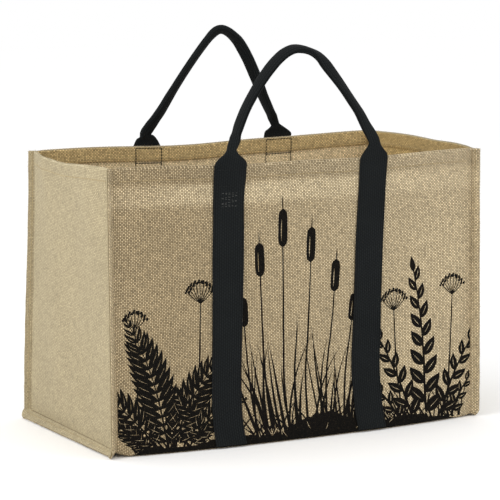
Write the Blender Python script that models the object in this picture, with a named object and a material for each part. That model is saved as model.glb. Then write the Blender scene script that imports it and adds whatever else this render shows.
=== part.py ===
import math

import bpy
import numpy as np

# Open box tote of burlap with two webbing handles. Metres, +Z up, the front panel faces -Y,
# and the base rests on z = 0 under the origin.

# --- overall sizes, seam to seam, and the shift that centres the whole part on the origin -------
BAG_WIDTH = 0.580
BAG_DEPTH = 0.300
CLOTH = 0.0018
SEAM_GAP = 0.00032
ORIGIN_SHIFT = (-0.00172, 0.00645, 0.0)
HALF = CLOTH / 2
LAYER = CLOTH + SEAM_GAP

# --- hem: the top edge turned in once, so the cloth is double there ---------------------------
HEM_DEPTH = 0.024
HEM_EXTRA = 0.0019
HEM_STEP = 0.0016
HEM_LIP = 0.0020
HEM_SIDE_CLEAR = 0.0065

# --- seam margins, turned out ------------------------------------------------------------------
FLANGE = 0.0125
FLANGE_BOTTOM = {("left", "front"): 0.0105, ("left", "back"): 0.0160,
                 ("right", "front"): 0.0115, ("right", "back"): 0.0130}
FLANGE_ANGLE = math.radians(45)
FLANGE_FLOOR = 0.0016
CORNER_FULLNESS = 0.80
BEND_RADIUS = 0.0026
FOLD_RADIUS = 0.0050

# --- grid ---------------------------------------------------------------------------------------
WALL_ROWS = 15
WALL_ROW_POWER = 1.06
BASE_COLUMNS = 11
BASE_EDGE_SHARE = 0.035
OUTER_COLUMNS = 6
MIDDLE_COLUMNS = 7

# --- corner lines: how far each leans from the plain box, top value fading to the floor --------
# side, face, out at top (x), out at foot (x), out at top (y), rim height
CORNERS = {
    ("left", "front"): (0.000, -0.001, 0.000, 0.4035),
    ("right", "front"): (-0.001, 0.002, 0.000, 0.4055),
    ("left", "back"): (-0.004, 0.007, -0.008, 0.4045),
    ("right", "back"): (-0.004, 0.002, 0.004, 0.4105),
}

# --- how far the base's ends are drawn up at the side seams ------------------------------------
END_LIFT = {"left": 0.0075, "right": 0.0028}
LIFT_REACH = {"left": 0.036, "right": 0.030}
LIFT_POWER = 2.6

# --- fullness of the panels, metres outward ------------------------------------------------------
WALL_HEIGHT = 0.400
ACROSS_POWER = 2.4
FULLNESS = {
    "front": {"foot": 0.023, "foot_reach": 0.036, "rim": 0.020, "rim_power": 2.2},
    "back": {"foot": 0.010, "foot_reach": 0.050, "rim": 0.007, "rim_power": 1.6},
    "left": {"foot": 0.004, "foot_reach": 0.050, "rim": 0.015, "rim_power": 1.5},
    "right": {"foot": 0.006, "foot_reach": 0.050, "rim": 0.022, "rim_power": 1.5},
}

# --- soft dents (-) and swells (+): place along the panel, height, reach along, reach up, depth
DENTS = {
    "front": (
        (-0.190, 0.275, 0.075, 0.060, -0.0075),
        (-0.230, 0.110, 0.060, 0.070, 0.0045),
        (0.005, 0.215, 0.070, 0.110, 0.0040),
        (-0.022, 0.352, 0.024, 0.016, -0.0028),
        (0.215, 0.285, 0.055, 0.080, -0.0055),
        (0.225, 0.120, 0.060, 0.060, 0.0045),
        (0.075, 0.095, 0.090, 0.042, -0.0050),
        (-0.175, 0.396, 0.040, 0.040, 0.0035),
        (0.190, 0.396, 0.035, 0.040, 0.0030),
    ),
    "back": (
        (-0.185, 0.260, 0.080, 0.080, -0.0070),
        (0.010, 0.180, 0.090, 0.100, 0.0050),
        (0.210, 0.250, 0.070, 0.090, -0.0060),
        (-0.010, 0.385, 0.060, 0.050, -0.0040),
        (0.215, 0.395, 0.045, 0.050, 0.0040),
    ),
    "left": (
        (0.072, 0.392, 0.032, 0.070, 0.0070),
        (-0.030, 0.250, 0.060, 0.090, -0.0060),
        (0.060, 0.130, 0.055, 0.080, 0.0050),
        (-0.090, 0.392, 0.030, 0.060, 0.0030),
        (-0.070, 0.090, 0.040, 0.050, -0.0035),
    ),
    "right": (
        (0.040, 0.392, 0.050, 0.070, 0.0050),
        (-0.050, 0.240, 0.060, 0.090, -0.0060),
        (0.050, 0.120, 0.060, 0.080, 0.0050),
    ),
}

# --- sag of each rim between its corners, and small waves of it --------------------------------
RIM_SAG = {"front": 0.0030, "back": 0.0052, "left": 0.0030, "right": 0.0015}
RIM_WAVE = {"front": 0.0010, "back": 0.0012, "left": 0.0012, "right": 0.0008}
WAVE_COUNT = {"front": 5.0, "back": 4.0, "left": 3.0, "right": 3.0}

# --- webbing -------------------------------------------------------------------------------------
WEB_HALF = 0.0234
WEB_THICK = 0.0025
WEB_GAP = 0.00032
WEB_EDGE = 0.94
WEB_FOOT_SHARE = 0.62
RING_TOP = 5
ROUND_POWER = 2 / 2.7

# Each handle: height, centre and half width of both straps on the panel; the fold above each
# strap as height over the rim, place and half width; the middle of the folded grip as place,
# height and twist in degrees; and how much the arch leans inward.
HANDLES = {
    "front": {
        "left": ((0.000, -0.1215, 0.0234), (0.060, -0.1218, 0.0232), (0.110, -0.1208, 0.0231),
                 (0.160, -0.1194, 0.0234), (0.210, -0.1187, 0.0236), (0.265, -0.1178, 0.0237),
                 (0.300, -0.1182, 0.0236), (0.330, -0.1192, 0.0234), (0.360, -0.1203, 0.0238),
                 (0.385, -0.1202, 0.0249), (0.405, -0.1194, 0.0252)),
        "right": ((0.000, 0.1066, 0.0234), (0.100, 0.1068, 0.0234), (0.180, 0.1071, 0.0234),
                  (0.265, 0.1081, 0.0235), (0.310, 0.1091, 0.0232), (0.360, 0.1097, 0.0229),
                  (0.405, 0.1102, 0.0232)),
        "left_fold": ((0.0057, -0.1192, 0.0237), (0.0114, -0.1190, 0.0180), (0.0171, -0.1188, 0.0108),
                      (0.0228, -0.1186, 0.0071)),
        "right_fold": ((0.0059, 0.1101, 0.0212), (0.0118, 0.1100, 0.0160), (0.0177, 0.1099, 0.0110),
                       (0.0236, 0.1098, 0.0086)),
        "grip": ((-0.1116, 0.4354, 80), (-0.1021, 0.4571, 80), (-0.0906, 0.4788, 82),
                 (-0.0798, 0.4950, 81), (-0.0645, 0.5155, 74), (-0.0493, 0.5328, 67),
                 (-0.0378, 0.5436, 67), (-0.0226, 0.5540, 66), (-0.0102, 0.5582, 70),
                 (0.0024, 0.5577, 75), (0.0148, 0.5543, 78), (0.0287, 0.5466, 51),
                 (0.0387, 0.5359, 30), (0.0479, 0.5244, 32), (0.0612, 0.5071, 42),
                 (0.0771, 0.4840, 45), (0.0889, 0.4665, 39), (0.0979, 0.4492, 27),
                 (0.1062, 0.4330, 23)),
        "lean": 0.117,
    },
    "back": {
        "left": ((0.000, -0.1010, 0.0234), (0.300, -0.1020, 0.0235), (0.405, -0.1025, 0.0237)),
        "right": ((0.000, 0.1260, 0.0234), (0.300, 0.1266, 0.0237), (0.405, 0.1270, 0.0242)),
        "left_fold": ((0.0056, -0.1010, 0.0208), (0.0107, -0.1010, 0.0178), (0.0152, -0.1024, 0.0136),
                      (0.0178, -0.1040, 0.0088)),
        "right_fold": ((0.0057, 0.1264, 0.0243), (0.0113, 0.1246, 0.0205), (0.0165, 0.1225, 0.0128),
                       (0.0210, 0.1208, 0.0069)),
        "grip": ((-0.0997, 0.4293, 16), (-0.0923, 0.4414, 28), (-0.0838, 0.4540, 33),
                 (-0.0705, 0.4777, 41), (-0.0564, 0.5018, 49), (-0.0413, 0.5259, 51),
                 (-0.0250, 0.5499, 51), (-0.0161, 0.5619, 49), (-0.0081, 0.5711, 44),
                 (-0.0015, 0.5760, 46), (0.0052, 0.5776, 56), (0.0115, 0.5765, 67),
                 (0.0182, 0.5735, 70), (0.0270, 0.5675, 66), (0.0351, 0.5605, 56),
                 (0.0452, 0.5483, 38), (0.0584, 0.5294, 28), (0.0661, 0.5168, 32),
                 (0.0790, 0.4945, 50), (0.0912, 0.4721, 64), (0.0991, 0.4592, 70),
                 (0.1073, 0.4462, 76), (0.1150, 0.4350, 80)),
        "lean": 0.249,
    },
}
STRAP_LEVEL = 0.4035
GRIP_HALF = 0.0092
GRIP_THICK = 0.0052
NECK_THICK = 0.0048
NECK_TWIST = 0.3
FOLD_ROWS = 4
SETTLE = 0.026
LEG_TURN = 0.018
FREE_STEP = 0.0085
SHOULDER_RINGS = 7
FOOT_TURN = 0.020
PROBE = 0.002

# --- colours -------------------------------------------------------------------------------------
BURLAP_FRONT = (0.42, 0.32, 0.19, 1.0)
BURLAP_SIDE = (0.52, 0.42, 0.27, 1.0)
WEBBING_BLACK = (0.018, 0.018, 0.020, 1.0)
BURLAP_ROUGHNESS = 0.92
WEBBING_ROUGHNESS = 0.85
CREASE_ANGLE = math.radians(50)

FACE_SIGN = {"front": -1.0, "back": 1.0}
SIDE_SIGN = {"left": -1.0, "right": 1.0}
SIDE_AXIS = np.array((1.0, 0.0, 0.0))
FRONT_AXIS = np.array((0.0, 1.0, 0.0))
UP_AXIS = np.array((0.0, 0.0, 1.0))


def clear_scene():
    for item in list(bpy.data.objects):
        bpy.data.objects.remove(item, do_unlink=True)


def ease(share):
    """0 to 1 with level ends."""
    share = min(max(share, 0.0), 1.0)
    return share * share * (3 - 2 * share)


def mix(first, second, share):
    return first + (second - first) * share


def hill(place, centre, reach):
    return math.exp(-((place - centre) / reach) ** 2)


def smooth_through(table, at):
    """Smooth values between the rows of a table, whose first column is the place."""
    table = np.array(table)
    knots, values = table[:, 0], table[:, 1:]
    slopes = np.gradient(values, knots, axis=0)
    low = int(np.clip(np.searchsorted(knots, at) - 1, 0, len(knots) - 2))
    span = knots[low + 1] - knots[low]
    share = min(max((at - knots[low]) / span, 0.0), 1.0)
    rise, left = share * share * (3 - 2 * share), 1 - share
    return (values[low] * (1 - rise) + values[low + 1] * rise
            + slopes[low] * span * share * left * left
            - slopes[low + 1] * span * share * share * left)


# --- the corner lines ----------------------------------------------------------------------------
def corner_x(side, face, height):
    top, foot, _, rim = CORNERS[(side, face)]
    out = mix(foot, top, ease(height / rim))
    return SIDE_SIGN[side] * (BAG_WIDTH / 2 + out)


def corner_y(side, face, height):
    _, _, top, rim = CORNERS[(side, face)]
    return FACE_SIGN[face] * (BAG_DEPTH / 2 + top * ease(height / rim))


def rim_height(face, share):
    """Height of the front or back rim, share runs 0 to 1 from left to right."""
    left = CORNERS[("left", face)][-1]
    right = CORNERS[("right", face)][-1]
    sag = RIM_SAG[face] * math.sin(math.pi * share) ** 2
    wave = RIM_WAVE[face] * math.sin(math.pi * share) * math.sin(WAVE_COUNT[face] * math.pi * share)
    return mix(left, right, share) - sag + wave


def side_rim_drop(side, share):
    """How far a gusset's rim dips below the line between its corners."""
    sag = RIM_SAG[side] * math.sin(math.pi * share) ** 2
    wave = RIM_WAVE[side] * math.sin(math.pi * share) * math.sin(WAVE_COUNT[side] * math.pi * share)
    return sag - wave


def end_lift(place):
    """Height of the base's underside at a place along the width."""
    side = "left" if place < 0 else "right"
    start = BAG_WIDTH / 2 - LIFT_REACH[side]
    share = max(0.0, (abs(place) - start) / LIFT_REACH[side])
    return END_LIFT[side] * min(share, 1.0) ** LIFT_POWER


def swell(panel, place, height, half_span):
    """Outward offset of a panel, none at its side seams."""
    sizes = FULLNESS[panel]
    across = max(0.0, 1 - (abs(place) / half_span) ** ACROSS_POWER)
    level = max(height, 0.0)
    out = sizes["foot"] * math.exp(-level / sizes["foot_reach"])
    out += sizes["rim"] * (level / WALL_HEIGHT) ** sizes["rim_power"]
    for at, up, reach_at, reach_up, depth in DENTS[panel]:
        out += depth * hill(place, at, reach_at) * hill(level, up, reach_up)
    return out * across


# --- rows of the strip: how far down the wall each row lies --------------------------------------
def wall_shares():
    """Hem rows as depths below the rim, then the rest as shares down to the fold."""
    depths = [0.0, HEM_LIP, HEM_DEPTH - HEM_STEP, HEM_DEPTH]
    shares = [((row + 1) / WALL_ROWS) ** WALL_ROW_POWER for row in range(WALL_ROWS)]
    return depths, shares


def wall_height(rim, foot, row):
    depths, shares = wall_shares()
    if row < len(depths):
        return rim - depths[row]
    return mix(rim - HEM_DEPTH, foot, shares[row - len(depths)])


def wall_row_count():
    depths, shares = wall_shares()
    return len(depths) + len(shares)


def base_shares():
    """Places across the base from the front fold to the back fold, 0 to 1, without the ends."""
    inner = np.linspace(BASE_EDGE_SHARE, 1 - BASE_EDGE_SHARE, BASE_COLUMNS)
    return list(inner)


def strip_rows():
    """Every row of the body strip, front rim to back rim, as (kind, number)."""
    count = wall_row_count()
    rows = [("front", number) for number in range(count)]
    rows.append(("front_arc", 0))
    rows.append(("base_front", 0))
    rows += [("base", number) for number in range(BASE_COLUMNS)]
    rows.append(("base_back", 0))
    rows.append(("back_arc", 0))
    rows += [("back", number) for number in reversed(range(count))]
    return rows


def fold_centre(face, place, share, half_span):
    """Centre of the rounded fold between a wall and the base."""
    height = end_lift(place) + HALF + FOLD_RADIUS
    return wall_y(face, share, height, place, half_span) - FACE_SIGN[face] * FOLD_RADIUS, height


def wall_y(face, share, height, place, half_span):
    line = mix(corner_y("left", face, height), corner_y("right", face, height), share)
    return line + FACE_SIGN[face] * swell(face, place, height, half_span)


def strip_point(row, share):
    """Mid-surface of the body strip, share runs 0 to 1 from the left seam to the right seam."""
    kind, number = row
    face = "back" if "back" in kind else "front"
    half_span = BAG_WIDTH / 2
    place = mix(-half_span, half_span, share)
    centre_y, centre_z = fold_centre(face, place, share, half_span)
    if kind in ("front", "back"):
        height = wall_height(rim_height(face, share), centre_z, number)
        across = mix(corner_x("left", face, height), corner_x("right", face, height), share)
        return np.array((across, wall_y(face, share, height, place, half_span), height))
    across = mix(corner_x("left", face, 0.0), corner_x("right", face, 0.0), share)
    if kind in ("front_arc", "back_arc"):
        turn = math.pi / 4
        return np.array((across, centre_y + FACE_SIGN[face] * FOLD_RADIUS * math.cos(turn),
                         centre_z - FOLD_RADIUS * math.sin(turn)))
    low = end_lift(place) + HALF
    front_y = fold_centre("front", place, share, half_span)[0]
    back_y = fold_centre("back", place, share, half_span)[0]
    across_front = mix(corner_x("left", "front", 0.0), corner_x("right", "front", 0.0), share)
    across_back = mix(corner_x("left", "back", 0.0), corner_x("right", "back", 0.0), share)
    along = 0.0
    if kind == "base":
        along = base_shares()[number]
    if kind == "base_back":
        along = 1.0
    return np.array((mix(across_front, across_back, along), mix(front_y, back_y, along), low))


def row_normal(kind):
    """Outward direction of the strip at a row, seen along the width."""
    if kind == "front":
        return -FRONT_AXIS
    if kind == "back":
        return FRONT_AXIS
    if kind == "front_arc":
        return -(FRONT_AXIS + UP_AXIS) * math.sqrt(0.5)
    if kind == "back_arc":
        return (FRONT_AXIS - UP_AXIS) * math.sqrt(0.5)
    return -UP_AXIS


def row_flange(side, kind, root):
    """Angle of the seam margin out of the side direction, and its length."""
    if kind in ("front", "back"):
        return FLANGE_ANGLE, FLANGE
    room = max(root[2] - FLANGE_FLOOR, 0.0)
    share = min(max(root[1] / BAG_DEPTH + 0.5, 0.0), 1.0)
    low = mix(FLANGE_BOTTOM[(side, "front")], FLANGE_BOTTOM[(side, "back")], share)
    low_angle = math.asin(min(room / low, math.sin(FLANGE_ANGLE)))
    if kind in ("front_arc", "back_arc"):
        reach = (FOLD_RADIUS + FLANGE * math.sin(FLANGE_ANGLE)) * math.sqrt(2)
        out = CORNER_FULLNESS * reach - FOLD_RADIUS
        angle = mix(FLANGE_ANGLE, low_angle, 0.5)
        return angle, min(out, room * math.sqrt(2)) / math.sin(angle)
    return low_angle, low


def flange_profile(angle, length, radius, turn):
    """Points of a bend and margin: (toward the side, along the row normal), from the vertex of the
    bend. The bend turns through `turn` and the margin leaves at `angle` from the side direction."""
    set_back = radius * math.tan(turn / 2)
    points = []
    for step in (0.5, 1.0):
        points.append((radius * math.sin(turn * step) - set_back, radius * (1 - math.cos(turn * step))))
    for step in (0.55, 1.0):
        points.append((length * step, None))
    return set_back, points


# --- a thick sheet from a mid-surface -------------------------------------------------------------
def vertex_normals(points, faces):
    normals = np.zeros_like(points)
    for face in faces:
        corners = points[list(face)]
        diagonal_a = corners[2] - corners[0]
        diagonal_b = corners[-1] - corners[1]
        normal = np.cross(diagonal_a, diagonal_b)
        length = np.linalg.norm(normal)
        if length > 0:
            normals[list(face)] += normal / math.sqrt(length)
    lengths = np.linalg.norm(normals, axis=1)
    return normals / lengths[:, None]


def thick_sheet(points, faces, outer, inner):
    """Closed solid between two offsets of a mid-surface whose faces look outward."""
    points = np.array(points)
    normals = vertex_normals(points, faces)
    count = len(points)
    verts = np.vstack((points + normals * np.array(outer)[:, None],
                       points - normals * np.array(inner)[:, None]))
    solid = [tuple(face) for face in faces]
    solid += [tuple(index + count for index in reversed(face)) for face in faces]
    edges = {}
    for face in faces:
        for first, second in zip(face, face[1:] + face[:1]):
            edges[(first, second)] = True
    for first, second in edges:
        if (second, first) not in edges:
            solid.append((second, first, first + count, second + count))
    return verts, solid, normals


def finish_object(name, verts, faces, material):
    mesh = bpy.data.meshes.new(name)
    placed = np.array(verts) + np.array(ORIGIN_SHIFT)
    mesh.from_pydata([tuple(vert) for vert in placed], [], faces)
    mesh.update()
    mesh.shade_smooth()
    mesh.set_sharp_from_angle(angle=CREASE_ANGLE)
    item = bpy.data.objects.new(name, mesh)
    bpy.context.scene.collection.objects.link(item)
    mesh.materials.append(material)
    return item


def make_material(name, colour, roughness):
    material = bpy.data.materials.new(name)
    material.use_nodes = True
    shader = material.node_tree.nodes["Principled BSDF"]
    shader.inputs["Base Color"].default_value = colour
    shader.inputs["Roughness"].default_value = roughness
    material.diffuse_color = colour
    return material


# --- body strip -----------------------------------------------------------------------------------
def strap_place(face, side, row):
    """Centre and half width of a strap where it crosses a row of its wall."""
    kind, number = row
    level = wall_height(STRAP_LEVEL, 0.0, number) if kind in FACE_SIGN else 0.0
    return smooth_through(HANDLES[face][side], level)


def column_shares(row):
    """Shares across the strip: even columns between the seams and the edges of the two straps."""
    kind, number = row
    share = base_shares()[number] if kind == "base" else float("back" in kind)
    half_span = BAG_WIDTH / 2
    stops = [-half_span]
    for side in ("left", "right"):
        centre, half = mix(strap_place("front", side, row), strap_place("back", side, row), share)
        stops += [centre - half, centre, centre + half]
    stops.append(half_span)
    counts = [OUTER_COLUMNS, 1, 1, MIDDLE_COLUMNS, 1, 1, OUTER_COLUMNS]
    places = []
    for start, stop, count in zip(stops, stops[1:], counts):
        places += [mix(start, stop, step / count) for step in range(count)]
    places.append(half_span)
    return [(place + half_span) / BAG_WIDTH for place in places]


def side_frame(row, side):
    """Vertex of the body's bend at a row, its outward normal, and the margin's angle and length."""
    kind = row[0]
    vertex = strip_point(row, 0.0 if side == "left" else 1.0)
    angle, length = row_flange(side, kind, vertex)
    return vertex, row_normal(kind), angle, length


def body_margin(row, side):
    """Points of the body's margin from the panel outward."""
    vertex, normal, angle, length = side_frame(row, side)
    toward = SIDE_AXIS * SIDE_SIGN[side]
    set_back, profile = flange_profile(angle, length, BEND_RADIUS, angle)
    points = []
    for out, along in profile:
        if along is None:
            points.append(vertex + toward * out * math.cos(angle) + normal * out * math.sin(angle))
        else:
            points.append(vertex + toward * out + normal * along)
    return set_back, points


def hem_offset(row, depth_share):
    """Inner offset of the cloth: double above the hem's turned edge."""
    kind, number = row
    if kind in ("front", "back") and number < len(wall_shares()[0]) - 1:
        return HALF + HEM_EXTRA * depth_share
    return HALF


def body_grid():
    grid = []
    inner = []
    for row in strip_rows():
        left_back, left_points = body_margin(row, "left")
        right_back, right_points = body_margin(row, "right")
        line = list(reversed(left_points))
        offsets = [HALF] * len(left_points)
        shares = column_shares(row)
        first_share = left_back / BAG_WIDTH
        last_share = 1 - right_back / BAG_WIDTH
        for share in shares:
            share = min(max(share, first_share), last_share)
            line.append(strip_point(row, share))
            near = min(share, 1 - share) * BAG_WIDTH
            offsets.append(hem_offset(row, ease((near - HEM_SIDE_CLEAR / 2) / HEM_SIDE_CLEAR)))
        line += right_points
        offsets += [HALF] * len(right_points)
        grid.append(line)
        inner.append(offsets)
    return grid, inner


def grid_faces(rows, columns):
    faces = []
    for row in range(rows - 1):
        for column in range(columns - 1):
            corner = row * columns + column
            faces.append((corner, corner + columns, corner + columns + 1, corner + 1))
    return faces


def build_body(material):
    grid, inner = body_grid()
    rows = len(grid)
    columns = len(grid[0])
    points = np.array([point for line in grid for point in line])
    offsets = [value for line in inner for value in line]
    faces = grid_faces(rows, columns)
    verts, solid, normals = thick_sheet(points, faces, [HALF] * len(points), offsets)
    finish_object("body_cloth", verts, solid, material)
    return points.reshape(rows, columns, 3), normals.reshape(rows, columns, 3)


# --- gussets --------------------------------------------------------------------------------------
def gusset_margin(row, side, body_line, normal_line):
    """Points of the gusset's margin from its panel outward, one layer inside the body's margin."""
    _, normal, angle, _ = side_frame(row, side)
    toward = SIDE_AXIS * SIDE_SIGN[side]
    turn = math.pi / 2 - angle
    line = body_line if side == "right" else body_line[::-1]
    across = normal_line if side == "right" else normal_line[::-1]
    flange = [line[index] - across[index] * LAYER for index in (-3, -2, -1)]
    points = []
    for step in (0.0, 0.5):
        left_over = turn * step
        along = BEND_RADIUS * (math.sin(turn) - math.sin(left_over))
        out = BEND_RADIUS * (math.cos(left_over) - math.cos(turn))
        points.append(flange[0] - normal * along - toward * out)
    return points + flange


def gusset_panel(side, ring):
    """Panel between the three seams, filled from its edges and then swelled."""
    count = wall_row_count() + 1
    front = [points[0] for points in ring[:count]]
    back = [points[0] for points in reversed(ring[-count:])]
    foot = [points[0] for points in ring[count - 1:len(ring) - count + 1]]
    columns = len(foot)
    depth = foot[-1][1] - foot[0][1]
    along = [(point[1] - foot[0][1]) / depth for point in foot]
    fall = front[0][2] - front[-1][2]
    down = [(front[0][2] - point[2]) / fall for point in front]
    panel = []
    for row in range(count):
        line = []
        for column in range(columns):
            u = along[column]
            v = down[row]
            top = mix(front[0], back[0], u)
            point = mix(front[row], back[row], u) + (1 - v) * top + v * foot[column]
            point = point - (1 - v) * mix(front[0], back[0], u) - v * mix(front[-1], back[-1], u)
            inside = 0 < column < columns - 1 and row < count - 1
            if inside:
                share = (math.sin(math.pi * u)) ** 0.5
                drop = side_rim_drop(side, u) * (1 - v)
                out = swell(side, point[1], point[2], BAG_DEPTH / 2)
                foot_fade = ease((1 - v) / 0.05)
                point = point + SIDE_AXIS * SIDE_SIGN[side] * out * foot_fade - UP_AXIS * drop * share
            line.append(point)
        panel.append(line)
    return panel


def build_gusset(side, body_points, body_normals, material):
    ring = []
    for index, row in enumerate(strip_rows()):
        ring.append(gusset_margin(row, side, body_points[index], body_normals[index]))
    panel = gusset_panel(side, ring)
    count = len(panel)
    columns = len(panel[0])
    points = [point for line in panel for point in line]
    inner = []
    for row in range(count):
        for column in range(columns):
            near = min(abs(panel[row][column][1] - panel[row][0][1]),
                       abs(panel[row][column][1] - panel[row][-1][1]))
            share = ease((near - HEM_SIDE_CLEAR / 2) / HEM_SIDE_CLEAR)
            inner.append(HALF + HEM_EXTRA * share if row < len(wall_shares()[0]) - 1 else HALF)
    faces = grid_faces(count, columns)
    edge = [row * columns for row in range(count)]
    edge += [(count - 1) * columns + column for column in range(1, columns)]
    edge += [row * columns + columns - 1 for row in reversed(range(count - 1))]
    layers = [edge]
    for step in range(1, len(ring[0])):
        start = len(points)
        points += [ring_points[step] for ring_points in ring]
        inner += [HALF] * len(ring)
        layers.append(list(range(start, start + len(ring))))
    for near, far in zip(layers, layers[1:]):
        for index in range(len(ring) - 1):
            faces.append((near[index], far[index], far[index + 1], near[index + 1]))
    if side == "left":
        faces = [tuple(reversed(face)) for face in faces]
    else:
        faces = [tuple(face) for face in faces]
    verts, solid, _ = thick_sheet(points, faces, [HALF] * len(points), inner)
    finish_object(side + "_gusset", verts, solid, material)


# --- handles --------------------------------------------------------------------------------------
def flat_ring():
    """Cross-section of flat webbing as (across, through), each -1 to 1."""
    tops = np.linspace(-WEB_EDGE, WEB_EDGE, RING_TOP)
    ring = [(value, 1.0) for value in tops]
    ring.append((1.0, 0.0))
    ring += [(value, -1.0) for value in reversed(tops)]
    ring.append((-1.0, 0.0))
    return np.array(ring)


def round_ring():
    """Cross-section of the folded grip, with the same number of points."""
    points = []
    count = len(flat_ring())
    for step in range(count):
        angle = math.pi - math.pi / (RING_TOP + 1) * (step + 1)
        across = math.copysign(abs(math.cos(angle)) ** ROUND_POWER, math.cos(angle))
        through = math.copysign(abs(math.sin(angle)) ** ROUND_POWER, math.sin(angle))
        points.append((across, through))
    return np.array(points)


def panel_ring(points, normals, row, column):
    """Ring of the flat strap lying on the body: column is the strap's centre column."""
    ring = []
    for across, through in flat_ring():
        place = column + across
        low = int(math.floor(place))
        low = min(max(low, column - 1), column)
        share = place - low
        spot = mix(points[row][low], points[row][low + 1], share)
        normal = mix(normals[row][low], normals[row][low + 1], share)
        lift = HALF + WEB_GAP + WEB_THICK * (through + 1) / 2
        ring.append(spot + normal * lift)
    return np.array(ring)


def unit(vector):
    return vector / np.linalg.norm(vector)


def seat_frame(ring, way):
    """Centre, across and outward directions of a flat ring on the panel's rim."""
    middle = RING_TOP // 2
    below = RING_TOP + 1 + middle
    across = unit(ring[RING_TOP] - ring[-1]) * way
    return (ring[middle] + ring[below]) / 2, across, unit(ring[middle] - ring[below])


def grip_path(sizes, seats):
    """Middle of the free part from seat to seat: run, place, height, twist and half width."""
    ends = []
    for side, (seat, _, _) in zip(("left", "right"), seats):
        neck_twist = sizes["grip"][0 if side == "left" else -1][2] * NECK_TWIST
        line = [(seat[0], seat[2], 0.0, sizes[side][-1][2])]
        for rise, place, half in sizes[side + "_fold"]:
            line.append((place, seat[2] + rise, 0.0, half))
        line[-1] = line[-1][:2] + (neck_twist,) + line[-1][3:]
        ends.append(line)
    grip = [spot + (GRIP_HALF,) for spot in sizes["grip"]]
    line = np.array(ends[0] + grip + ends[1][::-1], float)
    steps = np.linalg.norm(np.diff(line[:, :2], axis=0), axis=1)
    return np.column_stack((np.concatenate(([0.0], np.cumsum(steps))), line))


def neck_runs(path):
    """Run of the webbing from each rim to the neck where its fold ends."""
    return path[FOLD_ROWS, 0], path[-1, 0] - path[-1 - FOLD_ROWS, 0]


def free_lengths(path):
    """Runs of the rings: close together over both folds, even between them."""
    necks = neck_runs(path)
    shares = [math.sin(math.pi / 2 * (step + 1) / SHOULDER_RINGS)
              for step in range(SHOULDER_RINGS)]
    count = int((path[-1, 0] - sum(necks)) / FREE_STEP)
    middle = list(np.linspace(necks[0], path[-1, 0] - necks[1], count))[1:-1]
    return ([necks[0] * share for share in shares] + middle
            + [path[-1, 0] - necks[1] * share for share in reversed(shares)])


def build_handle(face, points, normals, material):
    sizes = HANDLES[face]
    rows = strip_rows()
    wall = [index for index, row in enumerate(rows) if row[0] == face]
    if face == "back":
        wall.reverse()
    arc = [index for index, row in enumerate(rows) if row[0] == face + "_arc"][0]
    margin = len(body_margin(rows[0], "left")[1])
    left_column = margin + OUTER_COLUMNS + 1
    right_column = margin + OUTER_COLUMNS + 2 + MIDDLE_COLUMNS + 1
    out = FACE_SIGN[face]

    def strap_rings(column):
        rings = [panel_ring(points, normals, index, column) for index in wall[1:]]
        foot = mix(rings[-1], panel_ring(points, normals, arc, column), WEB_FOOT_SHARE)
        rings.append(foot)
        rings.reverse()
        return rings

    left_rings = strap_rings(left_column)
    right_rings = strap_rings(right_column)
    tops = [panel_ring(points, normals, wall[0], column) for column in (left_column, right_column)]
    seats = [seat_frame(tops[0], 1.0), seat_frame(tops[1], -1.0)]
    path = grip_path(sizes, seats)
    total = path[-1, 0]
    flat = flat_ring()
    folded = round_ring()
    through_axis = FRONT_AXIS * out
    free = [tops[0]]
    for length in free_lengths(path):
        share = length / total
        side = "left" if share < 0.5 else "right"
        near = min(length, total - length)
        neck_run = neck_runs(path)[side == "right"]
        seat, seat_across, seat_through = seats[0 if side == "left" else 1]
        place, height, twist, half = smooth_through(path, length)
        ahead = (smooth_through(path, min(length + PROBE, total))
                 - smooth_through(path, max(length - PROBE, 0.0)))
        rise = height - mix(seats[0][0][2], seats[1][0][2], share)
        lean = sizes["lean"] * rise * ease(rise / FOOT_TURN)
        folding = ease(near / neck_run)
        settle = ease((near - neck_run) / SETTLE)
        if near > neck_run:
            half = mix(sizes[side + "_fold"][-1][2], GRIP_HALF, settle)
        turning = ease((near - neck_run * 0.5) / LEG_TURN)
        heading = np.array((ahead[0], 0.0, ahead[1])) / np.hypot(ahead[0], ahead[1])
        across = unit(mix(seat_across, np.cross(through_axis, heading) * out, turning))
        through = unit(mix(seat_through, through_axis, folding))
        thick = mix(mix(WEB_THICK / 2, NECK_THICK, folding), GRIP_THICK, settle)
        shape = mix(flat, folded, folding)
        stand = (thick - WEB_THICK / 2) * (1 - settle)
        depth = mix(seats[0][0][1], seats[1][0][1], share) + out * (stand - lean)
        centre = np.array((place, depth, height))
        twist = math.radians(twist * settle)
        wide = across * math.cos(twist) + through * math.sin(twist)
        deep = through * math.cos(twist) - across * math.sin(twist)
        free.append(np.array([centre + wide * a * half + deep * b * thick for a, b in shape]))
    # the right-hand strap is walked downward, so its rings run the other way across
    order = [(RING_TOP - 1 - step) % len(flat) for step in range(len(flat))]
    mirrored = [tops[1][order]] + [ring[order] for ring in reversed(right_rings)]
    rings = left_rings + free + mirrored
    verts = np.vstack(rings)
    size = len(flat)
    faces = []
    for step in range(len(rings) - 1):
        for index in range(size):
            following = (index + 1) % size
            faces.append((step * size + index, step * size + following,
                          (step + 1) * size + following, (step + 1) * size + index))
    faces.append(tuple(reversed(range(size))))
    last = (len(rings) - 1) * size
    faces.append(tuple(last + index for index in range(size)))
    if face == "back":
        faces = [tuple(reversed(item)) for item in faces]
    finish_object(face + "_handle", verts, faces, material)


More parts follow.
